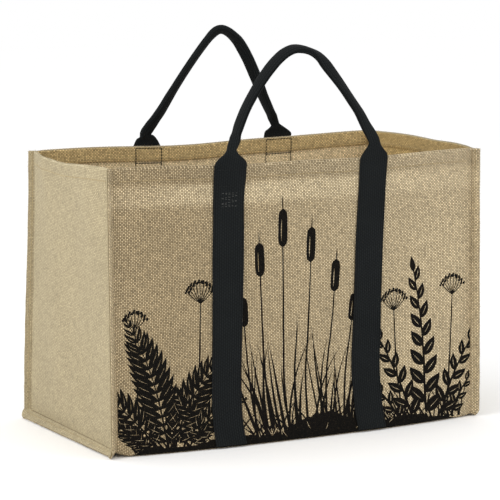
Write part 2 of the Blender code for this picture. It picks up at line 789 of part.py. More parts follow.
def main():
    clear_scene()
    points, normals = build_body(make_material("body_burlap", BURLAP_FRONT, BURLAP_ROUGHNESS))
    for side in SIDE_SIGN:
        build_gusset(side, points, normals,
                     make_material(side + "_gusset_burlap", BURLAP_SIDE, BURLAP_ROUGHNESS))
    build_handle("front", points, normals,
                 make_material("front_handle_webbing", WEBBING_BLACK, WEBBING_ROUGHNESS))
    build_handle("back", points, normals,
                 make_material("back_handle_webbing", WEBBING_BLACK, WEBBING_ROUGHNESS))


main()
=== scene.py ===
import math
import random

import bpy
import numpy as np
from mathutils import Matrix, Vector, noise
from mathutils.geometry import delaunay_2d_cdt


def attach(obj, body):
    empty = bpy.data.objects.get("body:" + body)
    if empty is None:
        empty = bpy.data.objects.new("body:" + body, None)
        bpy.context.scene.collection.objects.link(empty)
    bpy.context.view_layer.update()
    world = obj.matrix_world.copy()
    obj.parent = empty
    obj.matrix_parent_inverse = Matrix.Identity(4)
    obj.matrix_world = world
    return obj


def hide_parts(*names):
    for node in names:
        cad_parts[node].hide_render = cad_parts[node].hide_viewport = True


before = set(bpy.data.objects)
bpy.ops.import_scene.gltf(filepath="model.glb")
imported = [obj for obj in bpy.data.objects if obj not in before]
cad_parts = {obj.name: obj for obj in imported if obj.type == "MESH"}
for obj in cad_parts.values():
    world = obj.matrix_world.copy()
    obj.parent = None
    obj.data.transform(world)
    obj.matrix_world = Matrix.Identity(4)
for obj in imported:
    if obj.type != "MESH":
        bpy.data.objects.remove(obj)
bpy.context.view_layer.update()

# A box tote of burlap with webbing handles. Metres, +Z up, the printed front faces -Y.

# --- sizes of the bag, seam to seam, as the solids have them -------------------------------------
BAG_WIDTH = 0.580
BAG_DEPTH = 0.300
CLOTH = 0.0018
SEAM_GAP = 0.00032
ORIGIN_SHIFT = np.array((-0.00172, 0.00645, 0.0))
HALF = CLOTH / 2
LAYER = CLOTH + SEAM_GAP
WALL_HEIGHT = 0.400
HALF_SPAN = BAG_WIDTH / 2

HEM_DEPTH = 0.024
HEM_EXTRA = 0.0019
# the folded layer of a hem ends so far below its depth, and thins out over so much
HEM_BEYOND = 0.0003
HEM_FADE = 0.0016
HEM_SIDE_CLEAR = 0.0065
RIM_ROUND = (CLOTH + HEM_EXTRA) / 2

FLANGE = 0.0125
FLANGE_BOTTOM = {("left", "front"): 0.0105, ("left", "back"): 0.0160,
                 ("right", "front"): 0.0115, ("right", "back"): 0.0130}
FLANGE_ANGLE = math.radians(45)
FLANGE_FLOOR = 0.0016
CORNER_FULLNESS = 0.80
BEND_RADIUS = 0.0026
FOLD_RADIUS = 0.0050

# side, face: out at top (x), out at foot (x), out at top (y), rim height
CORNERS = {
    ("left", "front"): (0.000, -0.001, 0.000, 0.4035),
    ("right", "front"): (-0.001, 0.002, 0.000, 0.4055),
    ("left", "back"): (-0.004, 0.007, -0.008, 0.4045),
    ("right", "back"): (-0.004, 0.002, 0.004, 0.4105),
}
END_LIFT = {"left": 0.0075, "right": 0.0028}
LIFT_REACH = {"left": 0.036, "right": 0.030}
LIFT_POWER = 2.6
ACROSS_POWER = 2.4
FULLNESS = {
    "front": {"foot": 0.023, "foot_reach": 0.036, "rim": 0.020, "rim_power": 2.2},
    "back": {"foot": 0.010, "foot_reach": 0.050, "rim": 0.007, "rim_power": 1.6},
    "left": {"foot": 0.004, "foot_reach": 0.050, "rim": 0.015, "rim_power": 1.5},
    "right": {"foot": 0.006, "foot_reach": 0.050, "rim": 0.022, "rim_power": 1.5},
}
# soft dents (-) and swells (+): place along the panel, height, reach along, reach up, depth
DENTS = {
    "front": (
        (-0.190, 0.275, 0.075, 0.060, -0.0075), (-0.230, 0.110, 0.060, 0.070, 0.0045),
        (0.005, 0.215, 0.070, 0.110, 0.0040), (-0.022, 0.352, 0.024, 0.016, -0.0028),
        (0.215, 0.285, 0.055, 0.080, -0.0055), (0.225, 0.120, 0.060, 0.060, 0.0045),
        (0.075, 0.095, 0.090, 0.042, -0.0050), (-0.175, 0.396, 0.040, 0.040, 0.0035),
        (0.190, 0.396, 0.035, 0.040, 0.0030),
    ),
    "back": (
        (-0.185, 0.260, 0.080, 0.080, -0.0070), (0.010, 0.180, 0.090, 0.100, 0.0050),
        (0.210, 0.250, 0.070, 0.090, -0.0060), (-0.010, 0.385, 0.060, 0.050, -0.0040),
        (0.215, 0.395, 0.045, 0.050, 0.0040),
    ),
    "left": (
        (0.072, 0.392, 0.032, 0.070, 0.0070), (-0.030, 0.250, 0.060, 0.090, -0.0060),
        (0.060, 0.130, 0.055, 0.080, 0.0050), (-0.090, 0.392, 0.030, 0.060, 0.0030),
        (-0.070, 0.090, 0.040, 0.050, -0.0035),
    ),
    "right": (
        (0.040, 0.392, 0.050, 0.070, 0.0050), (-0.050, 0.240, 0.060, 0.090, -0.0060),
        (0.050, 0.120, 0.060, 0.080, 0.0050),
    ),
}
RIM_SAG = {"front": 0.0030, "back": 0.0052, "left": 0.0030, "right": 0.0015}
RIM_WAVE = {"front": 0.0010, "back": 0.0012, "left": 0.0012, "right": 0.0008}
WAVE_COUNT = {"front": 5.0, "back": 4.0, "left": 3.0, "right": 3.0}

# fine unevenness of the cloth: height of the waves and how many of them go into a metre. It dies
# out near the seams, a share of the way in, and at the foot.
RIPPLES = ((0.00085, 17.0), (0.00038, 44.0))
RIPPLE_STRETCH = 0.75
SEAM_CALM = 0.12
FOOT_CALM = 0.020
# the swell of a gusset dies out over this share of its height, at its foot
GUSSET_CALM = 0.05
RIPPLE_PLACE = {"front": 3.1, "back": 11.7, "left": 23.9, "right": 31.3}

# --- how finely the cloth is laid out ------------------------------------------------------------
WALL_ROWS = 68
ARC_ROWS = 5
BASE_ROWS = 50
OUTER_COLUMNS = 30
STRAP_COLUMNS = 8
MIDDLE_COLUMNS = 32
HEM_ROWS = (0.0034, 0.0070, 0.0110, 0.0150, 0.0190, 0.0222, 0.0232, 0.0238, 0.0243)
HEM_SEAM_ROW = HEM_ROWS.index(0.0190) + 1
BEND_STEPS = (0.25, 0.5, 0.75, 1.0)
GUSSET_BEND_STEPS = (0.0, 0.25, 0.5, 0.75)
MARGIN_STEPS = (0.40, 0.60, 0.80, 1.0)
MARGIN_COLUMNS = len(BEND_STEPS) + len(MARGIN_STEPS)
# how far the cut edge of a margin wavers, and waves of that to the metre
MARGIN_WAVER = 0.0005
WAVERS = 60
CAP_RINGS = 3
# a sheet's cloth coordinates are shifted by this on its inner side, and by this much more at each
# ring of its edge, so that they show other threads than the outer side
INNER_SHIFT = 0.5
EDGE_SHIFT = 0.001
# a gusset's threads are counted down from this height
GUSSET_TOP = 0.42

# --- webbing -------------------------------------------------------------------------------------
WEB_HALF = 0.0234
WEB_THICK = 0.0025
WEB_GAP = 0.00032
WEB_FOOT_SHARE = 0.62
RING_TOP = 9
# flat webbing seen from its end, both ways from -1 to 1: where its faces stop, and its soft edge
RING_FLAT = 0.955
RING_EDGE = (0.988, 0.62)
ROUND_POWER = 2 / 2.7
# These tables come from programs that read the webbing's outline in the photograph, corrected by
# what renders showed. They weren't chosen by hand.
HANDLES = {
    "front": {
        # height, centre and half width of each strap on its panel
        "left": ((0.000, -0.1215, 0.0234), (0.060, -0.1218, 0.0232), (0.110, -0.1208, 0.0231),
                 (0.160, -0.1194, 0.0234), (0.210, -0.1187, 0.0236), (0.265, -0.1178, 0.0237),
                 (0.300, -0.1182, 0.0236), (0.330, -0.1192, 0.0234), (0.360, -0.1203, 0.0238),
                 (0.385, -0.1202, 0.0249), (0.405, -0.1194, 0.0252)),
        "right": ((0.000, 0.1066, 0.0234), (0.100, 0.1068, 0.0234), (0.180, 0.1071, 0.0234),
                  (0.265, 0.1081, 0.0235), (0.310, 0.1091, 0.0232), (0.360, 0.1097, 0.0229),
                  (0.405, 0.1102, 0.0232)),
        # height over the rim, place and half width of the fold above each strap
        "left_fold": ((0.0057, -0.1192, 0.0237), (0.0114, -0.1190, 0.0180),
                      (0.0171, -0.1188, 0.0108), (0.0228, -0.1186, 0.0071)),
        "right_fold": ((0.0059, 0.1101, 0.0212), (0.0118, 0.1100, 0.0160), (0.0177, 0.1099, 0.0110),
                       (0.0236, 0.1098, 0.0086)),
        # middle of the free part in its own plane, and its twist in degrees
        "grip": ((-0.1116, 0.4354, 80), (-0.1021, 0.4571, 80), (-0.0906, 0.4788, 82),
                 (-0.0798, 0.4950, 81), (-0.0645, 0.5155, 74), (-0.0493, 0.5328, 67),
                 (-0.0378, 0.5436, 67), (-0.0226, 0.5540, 66), (-0.0102, 0.5582, 70),
                 (0.0024, 0.5577, 75), (0.0148, 0.5543, 78), (0.0287, 0.5466, 51),
                 (0.0387, 0.5359, 30), (0.0479, 0.5244, 32), (0.0612, 0.5071, 42),
                 (0.0771, 0.4840, 45), (0.0889, 0.4665, 39), (0.0979, 0.4492, 27),
                 (0.1062, 0.4330, 23)),
        "lean": 0.117,
    },
    "back": {
        "left": ((0.000, -0.1010, 0.0234), (0.300, -0.1020, 0.0235), (0.405, -0.1025, 0.0237)),
        "right": ((0.000, 0.1260, 0.0234), (0.300, 0.1266, 0.0237), (0.405, 0.1270, 0.0242)),
        "left_fold": ((0.0056, -0.1010, 0.0208), (0.0107, -0.1010, 0.0178),
                      (0.0152, -0.1024, 0.0136), (0.0178, -0.1040, 0.0088)),
        "right_fold": ((0.0057, 0.1264, 0.0243), (0.0113, 0.1246, 0.0205), (0.0165, 0.1225, 0.0128),
                       (0.0210, 0.1208, 0.0069)),
        "grip": ((-0.0997, 0.4293, 16), (-0.0923, 0.4414, 28), (-0.0838, 0.4540, 33),
                 (-0.0705, 0.4777, 41), (-0.0564, 0.5018, 49), (-0.0413, 0.5259, 51),
                 (-0.0250, 0.5499, 51), (-0.0161, 0.5619, 49), (-0.0081, 0.5711, 44),
                 (-0.0015, 0.5760, 46), (0.0052, 0.5776, 56), (0.0115, 0.5765, 67),
                 (0.0182, 0.5735, 70), (0.0270, 0.5675, 66), (0.0351, 0.5605, 56),
                 (0.0452, 0.5483, 38), (0.0584, 0.5294, 28), (0.0661, 0.5168, 32),
                 (0.0790, 0.4945, 50), (0.0912, 0.4721, 64), (0.0991, 0.4592, 70),
                 (0.1073, 0.4462, 76), (0.1150, 0.4350, 80)),
        "lean": 0.249,
    },
}
STRAP_LEVEL = 0.4035
GRIP_HALF = 0.0092
GRIP_THICK = 0.0052
NECK_THICK = 0.0048
NECK_TWIST = 0.3
FOLD_ROWS = 4
SETTLE = 0.026
LEG_TURN = 0.018
FREE_STEP = 0.0032
SHOULDER_RINGS = 16
FOOT_TURN = 0.020
PROBE = 0.002
SLIT_DEPTH = 0.20
GRIP_UNEVEN = 0.03
UNEVEN_WAVES = 55

# --- sewing --------------------------------------------------------------------------------------
STITCH_PITCH = 0.0046
STITCH_GAP = 0.16
THREAD_RADIUS = 0.00042
STRAP_SEAM_IN = 0.0016
BOX_TOP = 0.0032
BOX_FOOT = 0.0262
# sewing that shows inside the bag, drawn thicker so that it shows, and how far it goes down
INSIDE_RADIUS = 0.00075
INSIDE_GAP = 0.08
INSIDE_FOOT = 0.012
INSIDE_STEP = 0.004
PATCH_DEEP = (0.036, 0.055)
PATCH_ACROSS = (-0.52, 0.56)
PATCH_LINES = 6
DARNING_GAP = 0.40
LINE_STEPS = 12

FACE_SIGN = {"front": -1.0, "back": 1.0}
SIDE_SIGN = {"left": -1.0, "right": 1.0}
SIDE_AXIS = np.array((1.0, 0.0, 0.0))
FRONT_AXIS = np.array((0.0, 1.0, 0.0))
UP_AXIS = np.array((0.0, 0.0, 1.0))


def ease(share):
    """0 to 1 with level ends."""
    share = min(max(share, 0.0), 1.0)
    return share * share * (3 - 2 * share)


def mix(first, second, share):
    return first + (second - first) * share


def hill(place, centre, reach):
    return math.exp(-((place - centre) / reach) ** 2)


def unit(vector):
    return vector / np.linalg.norm(vector)


def run_along(line):
    """Length of the way to each point of a line, from its first."""
    return np.concatenate(([0.0], np.cumsum(np.linalg.norm(np.diff(line, axis=0), axis=1))))


def smooth_through(table, at):
    """Smooth values between the rows of a table, whose first column is the place."""
    table = np.array(table)
    knots, values = table[:, 0], table[:, 1:]
    slopes = np.gradient(values, knots, axis=0)
    low = int(np.clip(np.searchsorted(knots, at) - 1, 0, len(knots) - 2))
    span = knots[low + 1] - knots[low]
    share = min(max((at - knots[low]) / span, 0.0), 1.0)
    rise, left = share * share * (3 - 2 * share), 1 - share
    return (values[low] * (1 - rise) + values[low + 1] * rise
            + slopes[low] * span * share * left * left
            - slopes[low + 1] * span * share * share * left)


# --- the bag's surfaces --------------------------------------------------------------------------
def corner_x(side, face, height):
    """Where a corner seam stands along the width."""
    top, foot, _, rim = CORNERS[(side, face)]
    return SIDE_SIGN[side] * (BAG_WIDTH / 2 + mix(foot, top, ease(height / rim)))


def corner_y(side, face, height):
    """Where a corner seam stands from front to back."""
    _, _, top, rim = CORNERS[(side, face)]
    return FACE_SIGN[face] * (BAG_DEPTH / 2 + top * ease(height / rim))


def sag_and_wave(panel, share):
    """How far a panel's rim sags between its corners, and the wave that runs along it."""
    arch = math.sin(math.pi * share)
    wave = RIM_WAVE[panel] * arch * math.sin(WAVE_COUNT[panel] * math.pi * share)
    return RIM_SAG[panel] * arch ** 2, wave


def rim_height(face, share):
    left = CORNERS[("left", face)][-1]
    right = CORNERS[("right", face)][-1]
    sag, wave = sag_and_wave(face, share)
    return mix(left, right, share) - sag + wave


def side_rim_drop(side, share):
    sag, wave = sag_and_wave(side, share)
    return sag - wave


def end_lift(place):
    """How far the base rises towards the ends of the bag."""
    side = "left" if place < 0 else "right"
    start = BAG_WIDTH / 2 - LIFT_REACH[side]
    share = max(0.0, (abs(place) - start) / LIFT_REACH[side])
    return END_LIFT[side] * min(share, 1.0) ** LIFT_POWER


def ripple(panel, place, height):
    """Fine unevenness of a panel."""
    total = 0.0
    for size, count in RIPPLES:
        spot = Vector((place * count, height * count * RIPPLE_STRETCH, RIPPLE_PLACE[panel]))
        total += size * noise.noise(spot)
    return total


def swell(panel, place, height, half_span):
    """Outward offset of a panel, none at its side seams."""
    sizes = FULLNESS[panel]
    across = max(0.0, 1 - (abs(place) / half_span) ** ACROSS_POWER)
    level = max(height, 0.0)
    out = sizes["foot"] * math.exp(-level / sizes["foot_reach"])
    out += sizes["rim"] * (level / WALL_HEIGHT) ** sizes["rim_power"]
    for at, up, reach_at, reach_up, depth in DENTS[panel]:
        out += depth * hill(place, at, reach_at) * hill(level, up, reach_up)
    near_seam = ease(across / SEAM_CALM)
    return out * across + ripple(panel, place, level) * near_seam * ease(level / FOOT_CALM)


def wall_y(face, share, height, place):
    """Where the front or back panel stands."""
    line = mix(corner_y("left", face, height), corner_y("right", face, height), share)
    return line + FACE_SIGN[face] * swell(face, place, height, HALF_SPAN)


def fold_centre(face, place, share):
    """Centre of the rounded fold between a wall and the base."""
    height = end_lift(place) + HALF + FOLD_RADIUS
    return wall_y(face, share, height, place) - FACE_SIGN[face] * FOLD_RADIUS, height


# Rows of the body strip run from the front rim, under the base, to the back rim. A wall's row is a
# depth under the rim while it is negative, and then a share of the way from the hem to the fold.
def strip_rows():
    wall = [-RIM_ROUND] + [-depth for depth in HEM_ROWS]
    wall += [(step + 1) / WALL_ROWS for step in range(WALL_ROWS)]
    arc = [(step + 1) / (ARC_ROWS + 1) for step in range(ARC_ROWS)]
    base = [step / (BASE_ROWS - 1) for step in range(BASE_ROWS)]
    rows = [("front", value) for value in wall] + [("front_arc", value) for value in arc]
    rows += [("base", value) for value in base]
    rows += [("back_arc", value) for value in reversed(arc)]
    return rows + [("back", value) for value in reversed(wall)]


def wall_height(rim, foot, value):
    """Height of a wall's row between its rim and its foot."""
    if value < 0:
        return rim + value
    return mix(rim - HEM_DEPTH, foot, value)


def row_face(row):
    return "back" if "back" in row[0] else "front"


def rows_from_rim(rows, face, zone):
    """Places in the strip of the rows of a zone, from the rim's side down."""
    found = [index for index, row in enumerate(rows) if row[0] == zone]
    return found if face == "front" else found[::-1]


def strap_column(side):
    """Column of the body's grid in the middle of a strap."""
    first = MARGIN_COLUMNS + OUTER_COLUMNS + STRAP_COLUMNS // 2
    return first if side == "left" else first + STRAP_COLUMNS + MIDDLE_COLUMNS


def strip_point(row, share):
    """Middle of the body's cloth, share runs 0 to 1 from the left seam to the right seam."""
    zone, value = row
    face = row_face(row)
    place = mix(-HALF_SPAN, HALF_SPAN, share)
    if zone in FACE_SIGN:
        _, foot = fold_centre(face, place, share)
        height = wall_height(rim_height(face, share), foot, value)
        across = mix(corner_x("left", face, height), corner_x("right", face, height), share)
        return np.array((across, wall_y(face, share, height, place), height))
    if zone in ("front_arc", "back_arc"):
        centre_y, centre_z = fold_centre(face, place, share)
        turn = value * math.pi / 2
        across = mix(corner_x("left", face, 0.0), corner_x("right", face, 0.0), share)
        return np.array((across, centre_y + FACE_SIGN[face] * FOLD_RADIUS * math.cos(turn),
                         centre_z - FOLD_RADIUS * math.sin(turn)))
    front_y, front_z = fold_centre("front", place, share)
    back_y, _ = fold_centre("back", place, share)
    across_front = mix(corner_x("left", "front", 0.0), corner_x("right", "front", 0.0), share)
    across_back = mix(corner_x("left", "back", 0.0), corner_x("right", "back", 0.0), share)
    return np.array((mix(across_front, across_back, value), mix(front_y, back_y, value),
                     front_z - FOLD_RADIUS))


def row_normal(row):
    """Outward direction of the strip at a row, seen along the width."""
    zone, value = row
    if zone in FACE_SIGN:
        return FRONT_AXIS * FACE_SIGN[zone]
    if zone == "base":
        return -UP_AXIS
    turn = value * math.pi / 2
    return FRONT_AXIS * FACE_SIGN[row_face(row)] * math.cos(turn) - UP_AXIS * math.sin(turn)


def base_flange(side, root):
    """Angle and length of the bottom margin where its seam is at root."""
    room = max(root[2] - FLANGE_FLOOR, 0.0)
    share = min(max(root[1] / BAG_DEPTH + 0.5, 0.0), 1.0)
    low = mix(FLANGE_BOTTOM[(side, "front")], FLANGE_BOTTOM[(side, "back")], share)
    return math.asin(min(room / low, math.sin(FLANGE_ANGLE))), low, room


def row_flange(side, row, root):
    """Angle of the seam margin out of the side direction, and its length."""
    zone, value = row
    if zone in FACE_SIGN:
        return FLANGE_ANGLE, FLANGE
    if zone == "base":
        return base_flange(side, root)[:2]
    end = 0.0 if side == "left" else 1.0
    middle = strip_point((zone, 0.5), end)
    angle, _, room = base_flange(side, middle)
    angle = mix(FLANGE_ANGLE, angle, 0.5)
    reach = (FOLD_RADIUS + FLANGE * math.sin(FLANGE_ANGLE)) * math.sqrt(2)
    out = CORNER_FULLNESS * reach - FOLD_RADIUS
    corner = (angle, min(out, room * math.sqrt(2)) / math.sin(angle))
    low = base_flange(side, strip_point(("base", 0.0 if zone == "front_arc" else 1.0), end))
    weights = ((2 * value - 1) * (value - 1), 4 * value * (1 - value), value * (2 * value - 1))
    ends = ((FLANGE_ANGLE, FLANGE), corner, low[:2])
    return tuple(sum(weight * pair[item] for weight, pair in zip(weights, ends)) for item in (0, 1))


def strap_place(face, side, row):
    """Centre and half width of a strap where it crosses a row of its wall."""
    level = wall_height(STRAP_LEVEL, 0.0, row[1]) if row[0] in FACE_SIGN else 0.0
    return smooth_through(HANDLES[face][side], level)


def column_shares(row):
    """Shares across the strip: even columns between the seams and the edges of the two straps."""
    zone, value = row
    share = {"front": 0.0, "front_arc": 0.0, "base": value, "back_arc": 1.0, "back": 1.0}[zone]
    stops = [-HALF_SPAN]
    for side in ("left", "right"):
        centre, half = mix(strap_place("front", side, row), strap_place("back", side, row), share)
        stops += [centre - half, centre + half]
    stops.append(HALF_SPAN)
    counts = [OUTER_COLUMNS, STRAP_COLUMNS, MIDDLE_COLUMNS, STRAP_COLUMNS, OUTER_COLUMNS]
    places = []
    for start, stop, count in zip(stops, stops[1:], counts):
        places += [mix(start, stop, step / count) for step in range(count)]
    return [(place + HALF_SPAN) / BAG_WIDTH for place in places + [HALF_SPAN]]


def body_margin(row, side):
    """The bend out of the panel and the margin beyond it: points, and their run from the seam."""
    vertex = strip_point(row, 0.0 if side == "left" else 1.0)
    normal = row_normal(row)
    angle, length = row_flange(side, row, vertex)
    toward = SIDE_AXIS * SIDE_SIGN[side]
    set_back = BEND_RADIUS * math.tan(angle / 2)
    points = []
    runs = []
    for step in BEND_STEPS:
        turn = angle * step
        out = BEND_RADIUS * math.sin(turn) - set_back
        points.append(vertex + toward * out + normal * BEND_RADIUS * (1 - math.cos(turn)))
        runs.append(out)
    slope = toward * math.cos(angle) + normal * math.sin(angle)
    waver = MARGIN_WAVER * noise.noise(Vector(vertex * WAVERS))
    for step in MARGIN_STEPS:
        out = mix(set_back, length - HALF + waver, step)
        points.append(vertex + slope * out)
        runs.append(out)
    return set_back, points, runs


def hem_extra(row):
    """How much thicker the cloth is on its inside at a row of the hem."""
    zone, value = row
    if zone not in FACE_SIGN or value >= 0:
        return 0.0
    return HEM_EXTRA * ease((HEM_DEPTH + HEM_BEYOND + value) / HEM_FADE)


def body_layout():
    """Points of the body strip, inner offsets, cloth coordinates and hem shares."""
    rows = strip_rows()
    points, inner, runs_across, hems = [], [], [], []
    for row in rows:
        left_back, left_points, left_runs = body_margin(row, "left")
        right_back, right_points, right_runs = body_margin(row, "right")
        count = len(left_points)
        shares = [min(max(share, left_back / BAG_WIDTH), 1 - right_back / BAG_WIDTH)
                  for share in column_shares(row)]
        line = list(reversed(left_points)) + [strip_point(row, share) for share in shares]
        across = [-HALF_SPAN - run for run in reversed(left_runs)]
        across += [share * BAG_WIDTH - HALF_SPAN for share in shares]
        across += [HALF_SPAN + run for run in right_runs]
        extra = hem_extra(row)
        clear = [ease((min(share, 1 - share) * BAG_WIDTH - HEM_SIDE_CLEAR / 2) / HEM_SIDE_CLEAR)
                 for share in shares]
        points.append(line + right_points)
        inner.append([HALF] * count + [HALF + extra * share for share in clear] + [HALF] * count)
        hem = min(extra / HEM_EXTRA, 1.0) if extra else 0.0
        hems.append([hem] * len(points[-1]))
        runs_across.append(across)
    points = np.array(points)
    along = run_along(points[:, points.shape[1] // 2])
    cloth = np.dstack((np.array(runs_across), np.repeat(along[:, None], points.shape[1], axis=1)))
    return rows, points, np.array(inner), cloth, np.array(hems)


def grid_faces(rows, columns):
    """Four-sided faces between the points of a grid."""
    return [(row * columns + column, (row + 1) * columns + column,
             (row + 1) * columns + column + 1, row * columns + column + 1)
            for row in range(rows - 1) for column in range(columns - 1)]


def vertex_normals(points, faces):
    """Smooth normals of a sheet, and the crossing of each face's diagonals."""
    normals = np.zeros_like(points)
    corners = points[np.array(faces)]
    crossing = np.cross(corners[:, 2] - corners[:, 0], corners[:, 3] - corners[:, 1])
    lengths = np.linalg.norm(crossing, axis=1)
    crossing = crossing / np.sqrt(np.maximum(lengths, 1e-12))[:, None]
    for corner in range(4):
        np.add.at(normals, np.array(faces)[:, corner], crossing)
    return normals / np.linalg.norm(normals, axis=1)[:, None], crossing


def border_directions(points, faces, crossing):
    """Edges that only one face has, and the way out of the sheet at each of their ends."""
    owners = {}
    for number, face in enumerate(faces):
        for first, second in zip(face, face[1:] + face[:1]):
            owners[(first, second)] = number
    border = [(edge, number) for edge, number in owners.items() if edge[::-1] not in owners]
    outward = np.zeros_like(points)
    for (first, second), number in border:
        way = unit(np.cross(points[second] - points[first], crossing[number]))
        outward[first] += way
        outward[second] += way
    return [edge for edge, _ in border], outward


class Cloth:
    """A closed sheet: outer side, inner side and a rounded edge all round."""

    def __init__(self, points, faces, outer, inner, cloth, hems):
        normals, crossing = vertex_normals(points, faces)
        self.count = len(points)
        self.points = points
        self.normals = normals
        self.outer_faces = list(faces)
        self.inner_faces = [tuple(index + self.count for index in reversed(face))
                            for face in faces]
        verts = [points + normals * outer[:, None], points - normals * inner[:, None]]
        self.cloth = [cloth, cloth + INNER_SHIFT]
        self.tone = [hems, hems]
        border, outward = border_directions(points, faces, crossing)
        ends = sorted({index for edge in border for index in edge})
        slots = {index: number for number, index in enumerate(ends)}
        total = 2 * self.count
        ways = np.array([unit(outward[index]) for index in ends])
        centres = points[ends] + normals[ends] * ((outer - inner)[ends] / 2)[:, None]
        radii = ((outer + inner)[ends] / 2)[:, None]
        for ring in range(1, CAP_RINGS + 1):
            turn = math.pi * ring / (CAP_RINGS + 1)
            verts.append(centres + radii * (normals[ends] * math.cos(turn) + ways * math.sin(turn)))
            self.cloth.append(cloth[ends] + EDGE_SHIFT * ring)
            self.tone.append(hems[ends])

        def round_edge(index):
            rings = [total + ring * len(ends) + slots[index] for ring in range(CAP_RINGS)]
            return [index] + rings + [index + self.count]

        self.edge_faces = []
        for first, second in border:
            near, far = round_edge(first), round_edge(second)
            for step in range(CAP_RINGS + 1):
                self.edge_faces.append((far[step], near[step], near[step + 1], far[step + 1]))
        self.verts = np.vstack(verts)
        self.cloth = np.vstack(self.cloth)
        self.tone = np.concatenate(self.tone)


# --- the print on the front: reeds, ferns and leafy sprigs rising from a dark bank ---------------
# bulrushes, tallest between the two straps: place, height, lean, length of the head
BULRUSHES = ((-0.052, 0.235, -5, 0.050), (-0.026, 0.275, -2, 0.056), (0.004, 0.250, 2, 0.052),
             (0.034, 0.205, 6, 0.048), (0.062, 0.160, 9, 0.042), (-0.074, 0.165, -8, 0.044))
# ferns on the left: place, length, lean, bow, length of the leaves, pairs of them
FERNS = ((-0.215, 0.205, -4, -26, 0.044, 17), (-0.205, 0.170, 12, 46, 0.040, 15),
         (-0.232, 0.150, -22, -58, 0.036, 14), (-0.185, 0.120, 30, 52, 0.031, 12),
         (-0.160, 0.105, -10, -34, 0.028, 11), (-0.245, 0.085, -34, -44, 0.024, 10))
# leafy sprigs on the right, in the same terms
SPRIGS = ((0.205, 0.225, 3, -14, 0.040, 8), (0.182, 0.150, -12, -20, 0.034, 6),
          (0.232, 0.150, 14, 26, 0.034, 6), (0.160, 0.090, -20, -30, 0.026, 4),
          (0.250, 0.080, 18, 30, 0.024, 4))
# umbels behind them: place, height, lean, spread, rays
UMBELS = ((0.166, 0.170, -6, 0.030, 9), (0.243, 0.185, 5, 0.028, 8),
          (-0.168, 0.205, 3, 0.030, 9), (-0.255, 0.175, -2, 0.024, 7))
TALL_GRASS = 34
LOW_GRASS = 120
BARE_MARKS = 26
# leaflets of a fern that are longer than this have a slit left bare
SLIT_FROM = 0.018
# the dark bank: where it ends, how far its ends taper, its points, its straight foot, its least
# and its added height
BANK_ENDS = (-0.272, 0.276)
BANK_TAPER = 0.050
BANK_POINTS = 160
BANK_FOOT = 0.0035
BANK_LEAST = 0.008
BANK_RISE = 0.0052
# heights at which the plants are rooted in it
BULRUSH_ROOT = 0.012
PLANT_ROOT = 0.010
LOW_ROOT = 0.009
# how far ink strays from its outline, and how often in a metre
INK_RUN = 0.00028
INK_RUNS = 420
# cloth left clear of ink at the side seams, under the rim and at the foot
PRINT_SIDE_CLEAR = 0.0015
PRINT_TOP_CLEAR = 0.001
PRINT_FOOT_CLEAR = 0.0004
# outlines' points that lie closer than this are one
ONE_POINT = 1e-6


def direction(turn):
    """Way that is turned so many degrees from upright."""
    return np.array((math.sin(math.radians(turn)), math.cos(math.radians(turn))))


def curved_line(start, length, lean, bow, steps):
    """Points up a stem that leans and bows: start is (place, height)."""
    line = []
    for step in range(steps + 1):
        if line:
            line.append(line[-1] + direction(lean + bow * (step / steps)) * length / steps)
        else:
            line.append(np.array(start, float))
    return np.array(line)


def band(line, widths):
    """Outline of a line with a half width at each point."""
    ways = np.gradient(line, axis=0)
    ways = ways / np.linalg.norm(ways, axis=1)[:, None]
    sides = np.column_stack((-ways[:, 1], ways[:, 0])) * np.array(widths)[:, None]
    return np.vstack((line + sides, (line - sides)[::-1]))


def stem(line, foot, tip):
    """Outline of a stem that tapers from one half width to another."""
    steps = len(line) - 1
    return band(line, [mix(foot, tip, step / steps) for step in range(steps + 1)])


def leaf(start, angle, length, half_width, bow, steps, blunt=0.75):
    """Outline of a leaf. The lower blunt is, the nearer its foot it is widest."""
    line = curved_line(start, length, angle, bow, steps)
    widths = [half_width * math.sin(math.pi * min(0.04 + 0.955 * (step / steps) ** blunt, 0.999))
              for step in range(steps + 1)]
    widths[-1] = half_width * 0.02
    return band(line, widths)


def grass(start, length, lean, bow, half_width):
    """A blade of grass."""
    steps = 10
    line = curved_line(start, length, lean, bow, steps)
    return [band(line, [half_width * (1 - (step / steps) ** 1.6) + 0.0002
                        for step in range(steps + 1)])]


def fern(start, length, lean, bow, leaf_length, pairs):
    """A frond with pairs of leaflets, and the slits in the longer ones."""
    steps = pairs * 2
    line = curved_line(start, length, lean, bow, steps)
    shapes = [stem(line, 0.0015, 0.0004)]
    slits = []
    for pair in range(pairs):
        share = (pair + 1.2) / (pairs + 0.6)
        index = min(int(round(share * steps)), steps - 1)
        heading = math.degrees(math.atan2(*(line[index + 1] - line[index])))
        size = leaf_length * math.sin(math.pi * min(0.20 + 0.80 * share, 0.985)) ** 0.8
        for side in (-1, 1):
            turn = heading + side * mix(72, 42, share)
            shapes.append(leaf(line[index], turn, size, size * 0.125 + 0.0007, -side * 26, 6))
            if size > SLIT_FROM:
                slits.append(leaf(line[index] + 0.25 * size * direction(turn),
                                  turn - side * 6, size * 0.45, 0.00032, -side * 12, 4))
    return shapes, slits


